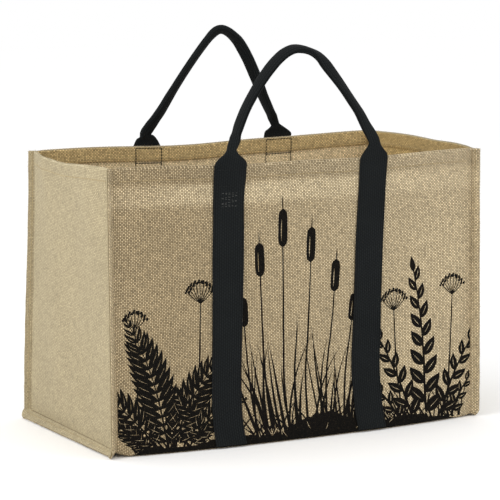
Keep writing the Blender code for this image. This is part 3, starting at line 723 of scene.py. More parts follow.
def bulrush(start, height, lean, head):
    """A stem with its head and the spike above, and a thin glint on the head."""
    line = curved_line(start, height, lean, -lean * 0.4, 14)
    shapes = [stem(line, 0.0019, 0.0010)]
    way = line[-1] - line[-2]
    angle = math.degrees(math.atan2(way[0], way[1]))
    body = curved_line(line[-1], head, angle, 0.0, 12)
    widths = [0.0068 * (1 - abs(2 * step / 12 - 1) ** 5) ** 0.5 + 0.0006 for step in range(13)]
    shapes.append(band(body, widths))
    shapes.append(leaf(body[-1] - (body[-1] - body[-2]) * 0.5, angle, head * 0.38, 0.0009, 0, 5))
    glint = curved_line(body[2] + np.array((-0.0022, 0.0)), head * 0.55, angle, 0.0, 4)
    return shapes, [band(glint, [0.0001, 0.0005, 0.0006, 0.0004, 0.0001])]


def sprig(start, height, lean, bow, leaf_length, pairs):
    """Leaves on alternate sides and one at the tip, and a slit in each side leaf."""
    steps = pairs * 2
    line = curved_line(start, height, lean, bow, steps)
    shapes = [stem(line, 0.0024, 0.0008)]
    slits = []
    for number in range(2 * pairs - 1):
        share = (number + 1.6) / (2 * pairs + 0.6)
        index = min(int(share * steps), steps - 1)
        heading = math.degrees(math.atan2(*(line[index + 1] - line[index])))
        side = -1 if number % 2 else 1
        size = leaf_length * mix(1.05, 0.55, share)
        turn = heading + side * mix(62, 34, share)
        shapes.append(leaf(line[index], turn, size, size * 0.235, -side * 20, 9, 0.85))
        foot = line[index] + 0.22 * size * direction(turn)
        slits.append(leaf(foot, turn - side * 4, size * 0.52, 0.00042, -side * 9, 5))
    shapes.append(leaf(line[-1], heading, leaf_length * 0.6, leaf_length * 0.12, 0, 8))
    return shapes, slits


def umbel(start, height, lean, spread, rays):
    """A seed head: rays that end in small buds."""
    line = curved_line(start, height, lean, -lean * 0.5, 12)
    shapes = [stem(line, 0.0016, 0.0009)]
    for ray in range(rays):
        turn = mix(-62, 62, ray / (rays - 1))
        reach = spread * (0.92 + 0.10 * math.cos(math.radians(turn) * 2))
        twig = curved_line(line[-1], reach, turn, -turn * 0.35, 5)
        shapes.append(band(twig, [0.0007] * 6))
        for bud in range(4):
            round_about = [math.radians(step * 45 + bud * 13) for step in range(8)]
            centre = twig[-1] + 0.0030 * np.array((math.cos(bud * 1.9), math.sin(bud * 1.9) * 0.6))
            shapes.append(np.array([centre + 0.0019 * np.array((math.cos(a), math.sin(a)))
                                    for a in round_about]))
    return shapes


def bank_outline():
    """The dark bank along the foot, with an uneven top."""
    places = np.linspace(*BANK_ENDS, BANK_POINTS)
    tops = []
    for place in places:
        ends = ease((-BANK_ENDS[0] - abs(place)) / BANK_TAPER)
        level = 0.018 + 0.010 * math.sin(place * 17 + 1.0) + 0.007 * math.sin(place * 41 + 0.4)
        level += 0.0040 * noise.noise(Vector((place * 130, 0.7, 0.0)))
        tops.append(BANK_RISE + max(level, BANK_LEAST) * ends)
    upper = np.column_stack((places, tops))
    return np.vstack((np.column_stack((places[::-1], np.full(len(places), BANK_FOOT))), upper))


def print_shapes():
    """Outlines of the ink, and of the thin marks left bare in it, as (place, height)."""
    chance = random.Random(41)
    ink = [bank_outline()]
    bare = []

    def plant(shapes, slits):
        ink.extend(shapes)
        bare.extend(slits)

    for place, *sizes in BULRUSHES:
        plant(*bulrush((place, BULRUSH_ROOT), *sizes))
    for _ in range(TALL_GRASS):
        place = chance.uniform(-0.085, 0.078)
        length = chance.uniform(0.090, 0.215) * (1 - 0.9 * abs(place) / 0.2)
        lean = place * 90 + chance.uniform(-8, 8)
        ink.extend(grass((place, PLANT_ROOT), length, lean, lean * 1.6 + chance.uniform(-18, 18),
                         chance.uniform(0.0014, 0.0027)))
    for place, *sizes in FERNS:
        plant(*fern((place, PLANT_ROOT), *sizes))
    for place, *sizes in SPRIGS:
        plant(*sprig((place, PLANT_ROOT), *sizes))
    for place, *sizes in UMBELS:
        ink.extend(umbel((place, PLANT_ROOT), *sizes))
    # low grass along the whole foot, and thin marks left bare in the bank
    for _ in range(LOW_GRASS):
        place = chance.uniform(-0.262, 0.266)
        lean = chance.uniform(-34, 34)
        ink.extend(grass((place, LOW_ROOT), chance.uniform(0.028, 0.070), lean, lean * 0.9,
                         chance.uniform(0.0009, 0.0018)))
    for _ in range(BARE_MARKS):
        place = chance.uniform(-0.235, 0.240)
        lean = chance.uniform(-60, 60)
        bare.append(leaf((place, chance.uniform(0.010, 0.020)), lean, chance.uniform(0.008, 0.016),
                         0.00045, chance.uniform(-30, 30), 4))
    return ink, bare


def on_threads(outline, number):
    """Ink runs out along the threads, so its edge is a little uneven."""
    moved = []
    for place, height in outline:
        at = Vector((place * INK_RUNS, height * INK_RUNS, number * 0.37))
        moved.append((place + INK_RUN * noise.noise(at),
                      height + INK_RUN * noise.noise(at + Vector((9.0, 4.0, 0.0)))))
    return np.array(moved)


def within(outline, spots):
    """Which spots an outline goes round."""
    across, up = spots[:, 0], spots[:, 1]
    turns = np.zeros(len(spots), dtype=int)
    for start, end in zip(outline, np.roll(outline, -1, axis=0)):
        side = (end[0] - start[0]) * (up - start[1]) - (across - start[0]) * (end[1] - start[1])
        turns += (start[1] <= up) & (end[1] > up) & (side > 0)
        turns -= (start[1] > up) & (end[1] <= up) & (side < 0)
    return turns != 0


def covered(outlines, spots):
    """Which spots lie in any of the outlines."""
    result = np.zeros(len(spots), dtype=bool)
    for outline in outlines:
        low, high = outline.min(axis=0), outline.max(axis=0)
        near = np.where(((spots >= low) & (spots <= high)).all(axis=1) & ~result)[0]
        result[near[within(outline, spots[near])]] = True
    return result


def cut_print(sheet, columns, first_row, last_row, first_column, last_column, along, across):
    """Splits the front's outer faces along the print. Returns new points, faces and their ink."""
    rows_at = along[first_row:last_row + 1]
    grid = across[first_row:last_row + 1, first_column:last_column + 1]
    width = grid.shape[1]
    foot = rows_at[-1]
    flat = [(place, run) for run, line in zip(rows_at, grid) for place in line]
    grid_size = len(flat)
    low = (grid[:, 0].max() + PRINT_SIDE_CLEAR, rows_at[0] + PRINT_TOP_CLEAR)
    high = (grid[:, -1].min() - PRINT_SIDE_CLEAR, foot - PRINT_FOOT_CLEAR)

    def laid(shapes):
        """Outlines on the cloth: place across, run down from the rim."""
        moved = [on_threads(outline, number) for number, outline in enumerate(shapes)]
        return [np.clip(outline * (1, -1) + (0, foot + FOLD_RADIUS), low, high)
                for outline in moved]

    ink, bare = (laid(shapes) for shapes in print_shapes())
    last = grid_size - width
    border = (list(range(0, last, width)) + list(range(last, grid_size - 1))
              + list(range(grid_size - 1, width - 1, -width)) + list(range(width - 1, 0, -1)))
    edges = list(zip(border, border[1:] + border[:1]))
    for outline in ink + bare:
        start, size = len(flat), len(outline)
        flat += [tuple(spot) for spot in outline]
        edges += [(start + step, start + (step + 1) % size) for step in range(size)]
    result = delaunay_2d_cdt([Vector(spot) for spot in flat], edges, [], 0, ONE_POINT, True)
    spots, _, triangles, from_spots = result[:4]
    # the triangles fill the hull of the grid, so those beyond its bent side lines are left out
    triangles, flat_spots = np.array(triangles), np.array(spots, dtype=float)
    spot_of = {index: number for number, known in enumerate(from_spots) for index in known}
    middles = flat_spots[triangles].mean(axis=1)
    on_cloth = within(flat_spots[[spot_of[index] for index in border]], middles)
    triangles, middles = triangles[on_cloth], middles[on_cloth]
    start = len(sheet.verts)
    index_of, new_spots = [], []
    for number, spot in enumerate(spots):
        known = [index for index in from_spots[number] if index < grid_size]
        if known:
            row, column = divmod(known[0], width)
            index_of.append((first_row + row) * columns + first_column + column)
        else:
            index_of.append(start + len(new_spots))
            new_spots.append((spot.x, spot.y))
    new_spots = np.array(new_spots)
    rows = np.clip(np.searchsorted(rows_at, new_spots[:, 1]) - 1, 0, len(rows_at) - 2)
    down = (new_spots[:, 1] - rows_at[rows]) / (rows_at[rows + 1] - rows_at[rows])
    lines = grid[rows] * (1 - down)[:, None] + grid[rows + 1] * down[:, None]
    steps = np.clip((lines < new_spots[:, :1]).sum(axis=1) - 1, 0, width - 2)
    each = np.arange(len(steps))
    over = ((new_spots[:, 0] - lines[each, steps])
            / (lines[each, steps + 1] - lines[each, steps]))
    corner = (first_row + rows) * columns + first_column + steps

    def blend(values):
        """Values of the sheet at the new points, from the four corners round each."""
        shape = (len(down),) + (1,) * (values.ndim - 1)
        d, o = down.reshape(shape), over.reshape(shape)
        return ((values[corner] * (1 - o) + values[corner + 1] * o) * (1 - d)
                + (values[corner + columns] * (1 - o) + values[corner + columns + 1] * o) * d)

    inked = covered(ink, middles) & ~covered(bare, middles)
    faces = [tuple(index_of[index] for index in reversed(triangle)) for triangle in triangles]
    new = {"verts": blend(sheet.verts), "cloth": new_spots, "tone": blend(sheet.tone)}
    return new, faces, inked


# --- building the pieces -------------------------------------------------------------------------
def make_piece(name, verts, faces, materials, material_numbers=None, cloth=None, marks=None,
               crease=50.0):
    """A piece from its points and faces, with cloth coordinates, marks and sharp creases."""
    mesh = bpy.data.meshes.new(name)
    mesh.from_pydata((np.asarray(verts) + ORIGIN_SHIFT).tolist(), [], faces)
    mesh.update()
    for material in materials:
        mesh.materials.append(material)
    if material_numbers is not None:
        mesh.polygons.foreach_set("material_index", material_numbers)
    if cloth is not None:
        layer = mesh.uv_layers.new(name="cloth")
        corners = np.empty(len(mesh.loops), dtype=np.int32)
        mesh.loops.foreach_get("vertex_index", corners)
        layer.data.foreach_set("uv", np.asarray(cloth)[corners].astype(np.float32).ravel())
    for mark, values in (marks or {}).items():
        attribute = mesh.attributes.new(mark, "FLOAT", "POINT")
        attribute.data.foreach_set("value", np.asarray(values, dtype=np.float32))
    mesh.shade_smooth()
    mesh.set_sharp_from_angle(angle=math.radians(crease))
    piece = bpy.data.objects.new(name, mesh)
    bpy.context.scene.collection.objects.link(piece)
    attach(piece, "root")
    return piece


# the front is darker in its left third and a little in the middle: place, reach, amount; a lighter
# band runs under the hem
FRONT_SHADES = ((-0.230, 0.190, 1.12), (0.030, 0.140, 0.36))
LIGHTER_BAND = (0.342, 0.378)
BAND_FADE = (0.010, 0.005)
BAND_SHADE = (-0.270, 0.100, 0.75)
BAND_LIFT = -0.30
# painted highlight: the rims of the body and the gussets are painted lighter along their top edge
RIM_PAINTED_HIGHLIGHT = -0.9
# the front is what lies this far forward of the middle
FRONT_SIDE = -0.05
# small patches: place, height, reach along, reach up, amount; painted shade along the right seam and
# a painted highlight on the left seam's margin
FRONT_PATCHES = ((0.284, 0.200, 0.008, 0.300, 0.35), (0.2885, 0.200, 0.0030, 0.400, 0.80),
                 (0.2975, 0.200, 0.0050, 0.500, 0.15), (-0.2985, 0.200, 0.007, 0.500, -1.00))
# painted shade: a dark line in the bends of the seams, and the gusset's margin darker down the back
# seam; the margin along its foot is made lighter
SEAM_PAINTED_SHADE = 1.4
FLANGE_PAINTED_SHADE = {"front": 0.0, "back": 0.7}
FOOT_FLANGE_LIGHTER = -0.25


def front_tone_and_painted_light(verts):
    """How much darker each point of the front is, lighter below zero: tone, painted shade and
    highlight.
    """
    place, height = verts[:, 0], verts[:, 2]
    rise = np.clip((height - LIGHTER_BAND[0]) / BAND_FADE[0], 0, 1)
    fall = np.clip((LIGHTER_BAND[1] - height) / BAND_FADE[1], 0, 1)
    total = np.zeros(len(verts))
    for at, reach, amount in FRONT_SHADES:
        total += amount * np.exp(-((place - at) / reach) ** 2)
    at, reach, amount = BAND_SHADE
    cleaner = BAND_LIFT + amount * np.exp(-((place - at) / reach) ** 2)
    total = mix(total, cleaner, rise * fall)
    for at, up, reach_at, reach_up, amount in FRONT_PATCHES:
        total += amount * np.exp(-((place - at) / reach_at) ** 2 - ((height - up) / reach_up) ** 2)
    return total * (verts[:, 1] < FRONT_SIDE)


def build_body(materials):
    """Front, base and back: one strip of burlap, printed on the front."""
    rows, points, inner, cloth, hems = body_layout()
    count, columns = points.shape[:2]
    faces = grid_faces(count, columns)
    outer = np.full(count * columns, HALF)
    sheet = Cloth(points.reshape(-1, 3), faces, outer, inner.ravel(), cloth.reshape(-1, 2),
                  hems.ravel())
    first_row = 1 + len(HEM_ROWS)
    last_row = first_row + WALL_ROWS + ARC_ROWS - 2
    along = cloth[:, columns // 2, 1]
    across = cloth[:, :, 0]
    first_column, last_column = MARGIN_COLUMNS, columns - 1 - MARGIN_COLUMNS
    new, print_faces, inked = cut_print(sheet, columns, first_row, last_row, first_column,
                                        last_column, along, across)
    kept = []
    for face in sheet.outer_faces:
        row, column = divmod(face[0], columns)
        inside = first_row <= row < last_row and first_column <= column < last_column
        if not inside:
            kept.append(face)
    verts = np.vstack((sheet.verts, new["verts"]))
    runs = np.vstack((sheet.cloth, new["cloth"]))
    tone = np.concatenate((sheet.tone, new["tone"]))
    all_faces = kept + print_faces + sheet.inner_faces + sheet.edge_faces
    numbers = [0] * len(kept) + [int(ink) for ink in inked]
    numbers += [2] * len(sheet.inner_faces) + [0] * len(sheet.edge_faces)
    # the front's uneven tone, with painted shade and a painted highlight at its side seams
    tone_and_painted_light = front_tone_and_painted_light(verts)
    # painted highlight along the rims, outside and inside
    for rim in (0, count - 1, count, 2 * count - 1):
        tone_and_painted_light[rim * columns:(rim + 1) * columns] += RIM_PAINTED_HIGHLIGHT
    piece = make_piece("body_burlap", verts, all_faces, materials, numbers, runs,
                       {"hem": tone, "tone_and_painted_light": tone_and_painted_light})
    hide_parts("body_cloth")
    normals = sheet.normals.reshape(count, columns, 3)
    return rows, points, normals, inner, piece


def gusset_margin(row, side, body_line, normal_line):
    """The gusset's bend and margin, one layer inside the body's margin: points and runs."""
    angle, _ = row_flange(side, row, strip_point(row, 0.0 if side == "left" else 1.0))
    normal = row_normal(row)
    toward = SIDE_AXIS * SIDE_SIGN[side]
    turn = math.pi / 2 - angle
    line = body_line if side == "right" else body_line[::-1]
    across = normal_line if side == "right" else normal_line[::-1]
    kept = range(-len(MARGIN_STEPS) - 1, 0)
    flange = [line[index] - across[index] * LAYER for index in kept]
    points = []
    for step in GUSSET_BEND_STEPS:
        left_over = turn * step
        along = BEND_RADIUS * (math.sin(turn) - math.sin(left_over))
        out = BEND_RADIUS * (math.cos(left_over) - math.cos(turn))
        points.append(flange[0] - normal * along - toward * out)
    points = points + flange
    runs = np.concatenate(([0.0], np.cumsum([np.linalg.norm(b - a)
                                             for a, b in zip(points, points[1:])])))
    return points, runs


def gusset_panel(side, ring):
    """Panel between the three seams, filled from its edges and then swelled."""
    count = 1 + len(HEM_ROWS) + WALL_ROWS + (ARC_ROWS + 1) // 2
    front = [points[0] for points in ring[:count]]
    back = [points[0] for points in reversed(ring[-count:])]
    foot = [points[0] for points in ring[count - 1:len(ring) - count + 1]]
    columns = len(foot)
    depth = foot[-1][1] - foot[0][1]
    along = [(point[1] - foot[0][1]) / depth for point in foot]
    fall = front[0][2] - front[-1][2]
    down = [(front[0][2] - point[2]) / fall for point in front]
    panel = []
    for row in range(count):
        line = []
        for column in range(columns):
            u, v = along[column], down[row]
            top = mix(front[0], back[0], u)
            point = mix(front[row], back[row], u) + (1 - v) * top + v * foot[column]
            point = point - (1 - v) * top - v * mix(front[-1], back[-1], u)
            if 0 < column < columns - 1 and row < count - 1:
                share = math.sin(math.pi * u) ** 0.5
                drop = side_rim_drop(side, u) * (1 - v)
                out = swell(side, point[1], point[2], BAG_DEPTH / 2) * ease((1 - v) / GUSSET_CALM)
                point = point + SIDE_AXIS * SIDE_SIGN[side] * out - UP_AXIS * drop * share
            line.append(point)
        panel.append(line)
    return panel


def build_gusset(side, rows, body_points, body_normals, materials):
    """An end panel with its bend and margin, which lie against the body's."""
    ring, runs = [], []
    for index, row in enumerate(rows):
        points, run = gusset_margin(row, side, body_points[index], body_normals[index])
        ring.append(points)
        runs.append(run)
    panel = np.array(gusset_panel(side, ring))
    count, columns = panel.shape[:2]
    hem_rows = [hem_extra(row) for row in rows[:count]]
    near = np.minimum(abs(panel[:, :, 1] - panel[:, :1, 1]), abs(panel[:, :, 1] - panel[:, -1:, 1]))
    clear = np.vectorize(ease)((near - HEM_SIDE_CLEAR / 2) / HEM_SIDE_CLEAR)
    inner = list((HALF + np.array(hem_rows)[:, None] * clear).ravel())
    hems = list(np.repeat(np.array(hem_rows) / HEM_EXTRA, columns))
    points = list(panel.reshape(-1, 3))
    cloth = [(point[1], GUSSET_TOP - point[2]) for point in points]
    faces = grid_faces(count, columns)
    edge = [row * columns for row in range(count)]
    edge += [(count - 1) * columns + column for column in range(1, columns)]
    edge += [row * columns + columns - 1 for row in reversed(range(count - 1))]
    layers = [edge]
    for step in range(1, len(ring[0])):
        start = len(points)
        for index, row in enumerate(rows):
            points.append(ring[index][step])
            way = row_normal(row)
            root = cloth[edge[index]]
            cloth.append((root[0] + way[1] * runs[index][step], root[1] - way[2] * runs[index][step]))
            inner.append(HALF)
            hems.append(0.0 if row[0] not in FACE_SIGN else min(hem_extra(row) / HEM_EXTRA, 1.0))
        layers.append(list(range(start, start + len(ring))))
    for close, far in zip(layers, layers[1:]):
        for index in range(len(ring) - 1):
            faces.append((close[index], far[index], far[index + 1], close[index + 1]))
    if side == "left":
        faces = [tuple(reversed(face)) for face in faces]
    points = np.array(points)
    sheet = Cloth(points, faces, np.full(len(points), HALF), np.array(inner), np.array(cloth),
                  np.array(hems))
    all_faces = sheet.outer_faces + sheet.inner_faces + sheet.edge_faces
    numbers = [0] * len(sheet.outer_faces) + [1] * len(sheet.inner_faces)
    numbers += [0] * len(sheet.edge_faces)
    # painted highlight along the rims, painted shade in the bends of the seams and down the back
    # margin; the foot's margin is made lighter
    tone_and_painted_light = np.zeros(len(sheet.verts))
    for rim in (0, len(points)):
        tone_and_painted_light[rim:rim + columns] = RIM_PAINTED_HIGHLIGHT
    for step, layer in enumerate(layers[1:], 1):
        for index, row in zip(layer, rows):
            tone_and_painted_light[index] = (SEAM_PAINTED_SHADE if step < len(BEND_STEPS)
                           else FLANGE_PAINTED_SHADE.get(row[0], FOOT_FLANGE_LIGHTER))
    piece = make_piece(side + "_gusset_burlap_panel", sheet.verts, all_faces, materials, numbers,
                       sheet.cloth, {"hem": sheet.tone, "tone_and_painted_light": tone_and_painted_light})
    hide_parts(side + "_gusset")
    return piece, sheet, layers


# --- webbing -------------------------------------------------------------------------------------
def flat_ring():
    """Cross-section of flat webbing with soft edges, as (across, through), each -1 to 1."""
    tops = np.linspace(-RING_FLAT, RING_FLAT, RING_TOP)
    wide, low = RING_EDGE
    ring = [(value, 1.0) for value in tops] + [(wide, low), (1.0, 0.0), (wide, -low)]
    ring += [(value, -1.0) for value in reversed(tops)]
    return np.array(ring + [(-wide, -low), (-1.0, 0.0), (-wide, low)])


def folded_ring():
    """Cross-section of the webbing folded in half, its two edges meeting on the +across side."""
    points = []
    for step in range(len(flat_ring())):
        angle = math.radians(150 - 15 * step)
        across = math.copysign(abs(math.cos(angle)) ** ROUND_POWER, math.cos(angle))
        through = math.copysign(abs(math.sin(angle)) ** ROUND_POWER, math.sin(angle))
        slit = 1 - SLIT_DEPTH * (abs(math.degrees(angle)) < 1)
        points.append((across * slit, through))
    return np.array(points)


def panel_ring(points, normals, row, column):
    """Flat webbing lying on a row of its panel."""
    ring = []
    for across, through in flat_ring():
        place = column + across * STRAP_COLUMNS / 2
        low = min(max(int(math.floor(place)), column - STRAP_COLUMNS // 2),
                  column + STRAP_COLUMNS // 2 - 1)
        spot = mix(points[row][low], points[row][low + 1], place - low)
        normal = mix(normals[row][low], normals[row][low + 1], place - low)
        ring.append(spot + normal * (HALF + WEB_GAP + WEB_THICK * (through + 1) / 2))
    return np.array(ring)


def seat_frame(ring, way):
    """Centre, across and outward directions of a flat ring on the panel's rim."""
    middle = RING_TOP // 2
    below = RING_TOP + 3 + middle
    across = unit(ring[RING_TOP + 1] - ring[-2]) * way
    return (ring[middle] + ring[below]) / 2, across, unit(ring[middle] - ring[below])


def grip_path(sizes, seats):
    """Middle of the free part from seat to seat: run, place, height, twist and half width."""
    ends = []
    for side, (seat, _, _) in zip(("left", "right"), seats):
        neck_twist = sizes["grip"][0 if side == "left" else -1][2] * NECK_TWIST
        line = [(seat[0], seat[2], 0.0, sizes[side][-1][2])]
        for rise, place, half in sizes[side + "_fold"]:
            line.append((place, seat[2] + rise, 0.0, half))
        line[-1] = line[-1][:2] + (neck_twist,) + line[-1][3:]
        ends.append(line)
    grip = [spot + (GRIP_HALF,) for spot in sizes["grip"]]
    line = np.array(ends[0] + grip + ends[1][::-1], float)
    return np.column_stack((run_along(line[:, :2]), line))


def neck_runs(path):
    """Run of the webbing from each rim to the neck where its fold ends."""
    return path[FOLD_ROWS, 0], path[-1, 0] - path[-1 - FOLD_ROWS, 0]


def free_lengths(path):
    """Runs of the rings: close together over both folds, even between them."""
    necks = neck_runs(path)
    shares = [math.sin(math.pi / 2 * (step + 1) / SHOULDER_RINGS)
              for step in range(SHOULDER_RINGS)]
    count = int((path[-1, 0] - sum(necks)) / FREE_STEP)
    middle = list(np.linspace(necks[0], path[-1, 0] - necks[1], count))[1:-1]
    return ([necks[0] * share for share in shares] + middle
            + [path[-1, 0] - necks[1] * share for share in reversed(shares)])


def handle_rings(face, rows, points, normals):
    """Rings of the webbing from the foot of the left strap, over the arch, to the right foot."""
    sizes = HANDLES[face]
    wall = rows_from_rim(rows, face, face)
    arc = rows_from_rim(rows, face, face + "_arc")
    left_column, right_column = strap_column("left"), strap_column("right")
    out = FACE_SIGN[face]

    def strap_rings(column):
        """Rings of a strap from its foot up to the one below the rim."""
        below = wall[1:] + arc[:max(1, int(WEB_FOOT_SHARE * ARC_ROWS / 2))]
        return [panel_ring(points, normals, index, column) for index in reversed(below)]

    tops = [panel_ring(points, normals, wall[0], column) for column in (left_column, right_column)]
    seats = [seat_frame(tops[0], 1.0), seat_frame(tops[1], -1.0)]
    path = grip_path(sizes, seats)
    total = path[-1, 0]
    flat, folded = flat_ring(), folded_ring()
    through_axis = FRONT_AXIS * out
    free = [tops[0]]
    for length in free_lengths(path):
        share = length / total
        side = "left" if share < 0.5 else "right"
        near = min(length, total - length)
        neck_run = neck_runs(path)[side == "right"]
        _, seat_across, seat_through = seats[0 if side == "left" else 1]
        place, height, twist, half = smooth_through(path, length)
        ahead = (smooth_through(path, min(length + PROBE, total))
                 - smooth_through(path, max(length - PROBE, 0.0)))
        rise = height - mix(seats[0][0][2], seats[1][0][2], share)
        lean = sizes["lean"] * rise * ease(rise / FOOT_TURN)
        folding = ease(near / neck_run)
        settle = ease((near - neck_run) / SETTLE)
        if near > neck_run:
            half = mix(sizes[side + "_fold"][-1][2], GRIP_HALF, settle)
        turning = ease((near - neck_run * 0.5) / LEG_TURN)
        heading = np.array((ahead[0], 0.0, ahead[1])) / np.hypot(ahead[0], ahead[1])
        across = unit(mix(seat_across, np.cross(through_axis, heading) * out, turning))
        through = unit(mix(seat_through, through_axis, folding))
        thick = mix(mix(WEB_THICK / 2, NECK_THICK, folding), GRIP_THICK, settle)
        waves = noise.noise(Vector((length * UNEVEN_WAVES, out * 3, 0.0)))
        uneven = 1 + GRIP_UNEVEN * waves * settle
        shape = mix(flat, folded, folding)
        stand = (thick - WEB_THICK / 2) * (1 - settle)
        depth = mix(seats[0][0][1], seats[1][0][1], share) + out * (stand - lean)
        centre = np.array((place, depth, height))
        twist = math.radians(twist * settle)
        wide = across * math.cos(twist) + through * math.sin(twist)
        deep = through * math.cos(twist) - across * math.sin(twist)
        free.append(np.array([centre + (wide * a * half + deep * b * thick) * uneven
                              for a, b in shape]))
    order = [(RING_TOP - 1 - step) % len(flat) for step in range(len(flat))]
    left = strap_rings(left_column)
    right = [ring[order] for ring in reversed(strap_rings(right_column))]
    return left, free, [tops[1][order]] + right


def build_handle(face, rows, points, normals, material):
    """A length of webbing: two flat straps and the folded grip between them."""
    left, free, right = handle_rings(face, rows, points, normals)
    rings = np.array(left + free + right)
    count, size = rings.shape[:2]
    steps = np.linalg.norm(np.diff(rings, axis=0), axis=2).mean(axis=1)
    along = np.concatenate(([0.0], np.cumsum(steps)))
    middle = RING_TOP // 2
    gaps = np.linalg.norm(np.roll(rings, -1, axis=1) - rings, axis=2)
    run = np.cumsum(gaps, axis=1) - gaps
    across = run - run[:, middle:middle + 1]
    wrapped = across > gaps.sum(axis=1)[:, None] / 2
    across = across - wrapped * gaps.sum(axis=1)[:, None]
    cloth = np.dstack((across, np.repeat(along[:, None], size, axis=1)))
    faces = []
    for step in range(count - 1):
        for index in range(size):
            following = (index + 1) % size
            faces.append((step * size + index, step * size + following,
                          (step + 1) * size + following, (step + 1) * size + index))
    faces.append(tuple(reversed(range(size))))
    last = (count - 1) * size
    faces.append(tuple(last + index for index in range(size)))
    if face == "back":
        faces = [tuple(reversed(item)) for item in faces]
    piece = make_piece(face + "_webbing", rings.reshape(-1, 3), faces, [material],
                       cloth=cloth.reshape(-1, 2))
    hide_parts(face + "_handle")
    return piece, (np.array(left), np.array(free), np.array(right))


# --- sewing thread -------------------------------------------------------------------------------
class Thread:
    """Stitches gathered into one mesh. Each is a short bowed bar whose ends go into the cloth."""

    SIDES = 5
    STATIONS = ((0.0, -0.55, 0.45), (0.16, 0.30, 0.95), (0.84, 0.30, 0.95), (1.0, -0.55, 0.45))

    def __init__(self):
        self.verts = []
        self.faces = []

    def stitch(self, start, end, normal, radius):
        """One stitch from a point to the next."""
        way = unit(end - start)
        side = unit(np.cross(way, normal))
        lift = np.cross(side, way)
        base = len(self.verts)
        for share, height, size in self.STATIONS:
            centre = mix(start, end, share) + lift * height * radius
            for step in range(self.SIDES):
                angle = 2 * math.pi * step / self.SIDES
                self.verts.append(centre + (side * math.cos(angle) + lift * math.sin(angle))
                                  * radius * size)
        for ring in range(len(self.STATIONS) - 1):
            for step in range(self.SIDES):
                here = base + ring * self.SIDES
                following = (step + 1) % self.SIDES
                self.faces.append((here + step, here + self.SIDES + step,
                                   here + self.SIDES + following, here + following))
        self.faces.append(tuple(base + step for step in range(self.SIDES)))
        last = base + (len(self.STATIONS) - 1) * self.SIDES
        self.faces.append(tuple(last + step for step in reversed(range(self.SIDES))))

    def run(self, spots, normals, radius=THREAD_RADIUS, gap=STITCH_GAP):
        """Even stitches along a line that lies on the cloth."""
        spots = np.array(spots)
        normals = np.array(normals)
        lengths = run_along(spots)
        count = max(int(lengths[-1] / STITCH_PITCH), 1)
        step = lengths[-1] / count

        def at(length):
            return np.array([np.interp(length, lengths, spots[:, axis]) for axis in range(3)])

        for number in range(count):
            start = at((number + gap / 2) * step)
            end = at((number + 1 - gap / 2) * step)
            middle = (number + 0.5) * step
            normal = np.array([np.interp(middle, lengths, normals[:, axis]) for axis in range(3)])
            self.stitch(start, end, unit(normal), radius)

    def run_on(self, pairs, **how):
        """Stitches through pairs of a point and its normal."""
        self.run([spot for spot, _ in pairs], [normal for _, normal in pairs], **how)

    def piece(self, name, material, slot):
        item = make_piece(name, self.verts, self.faces, [material], crease=80.0)
        return item


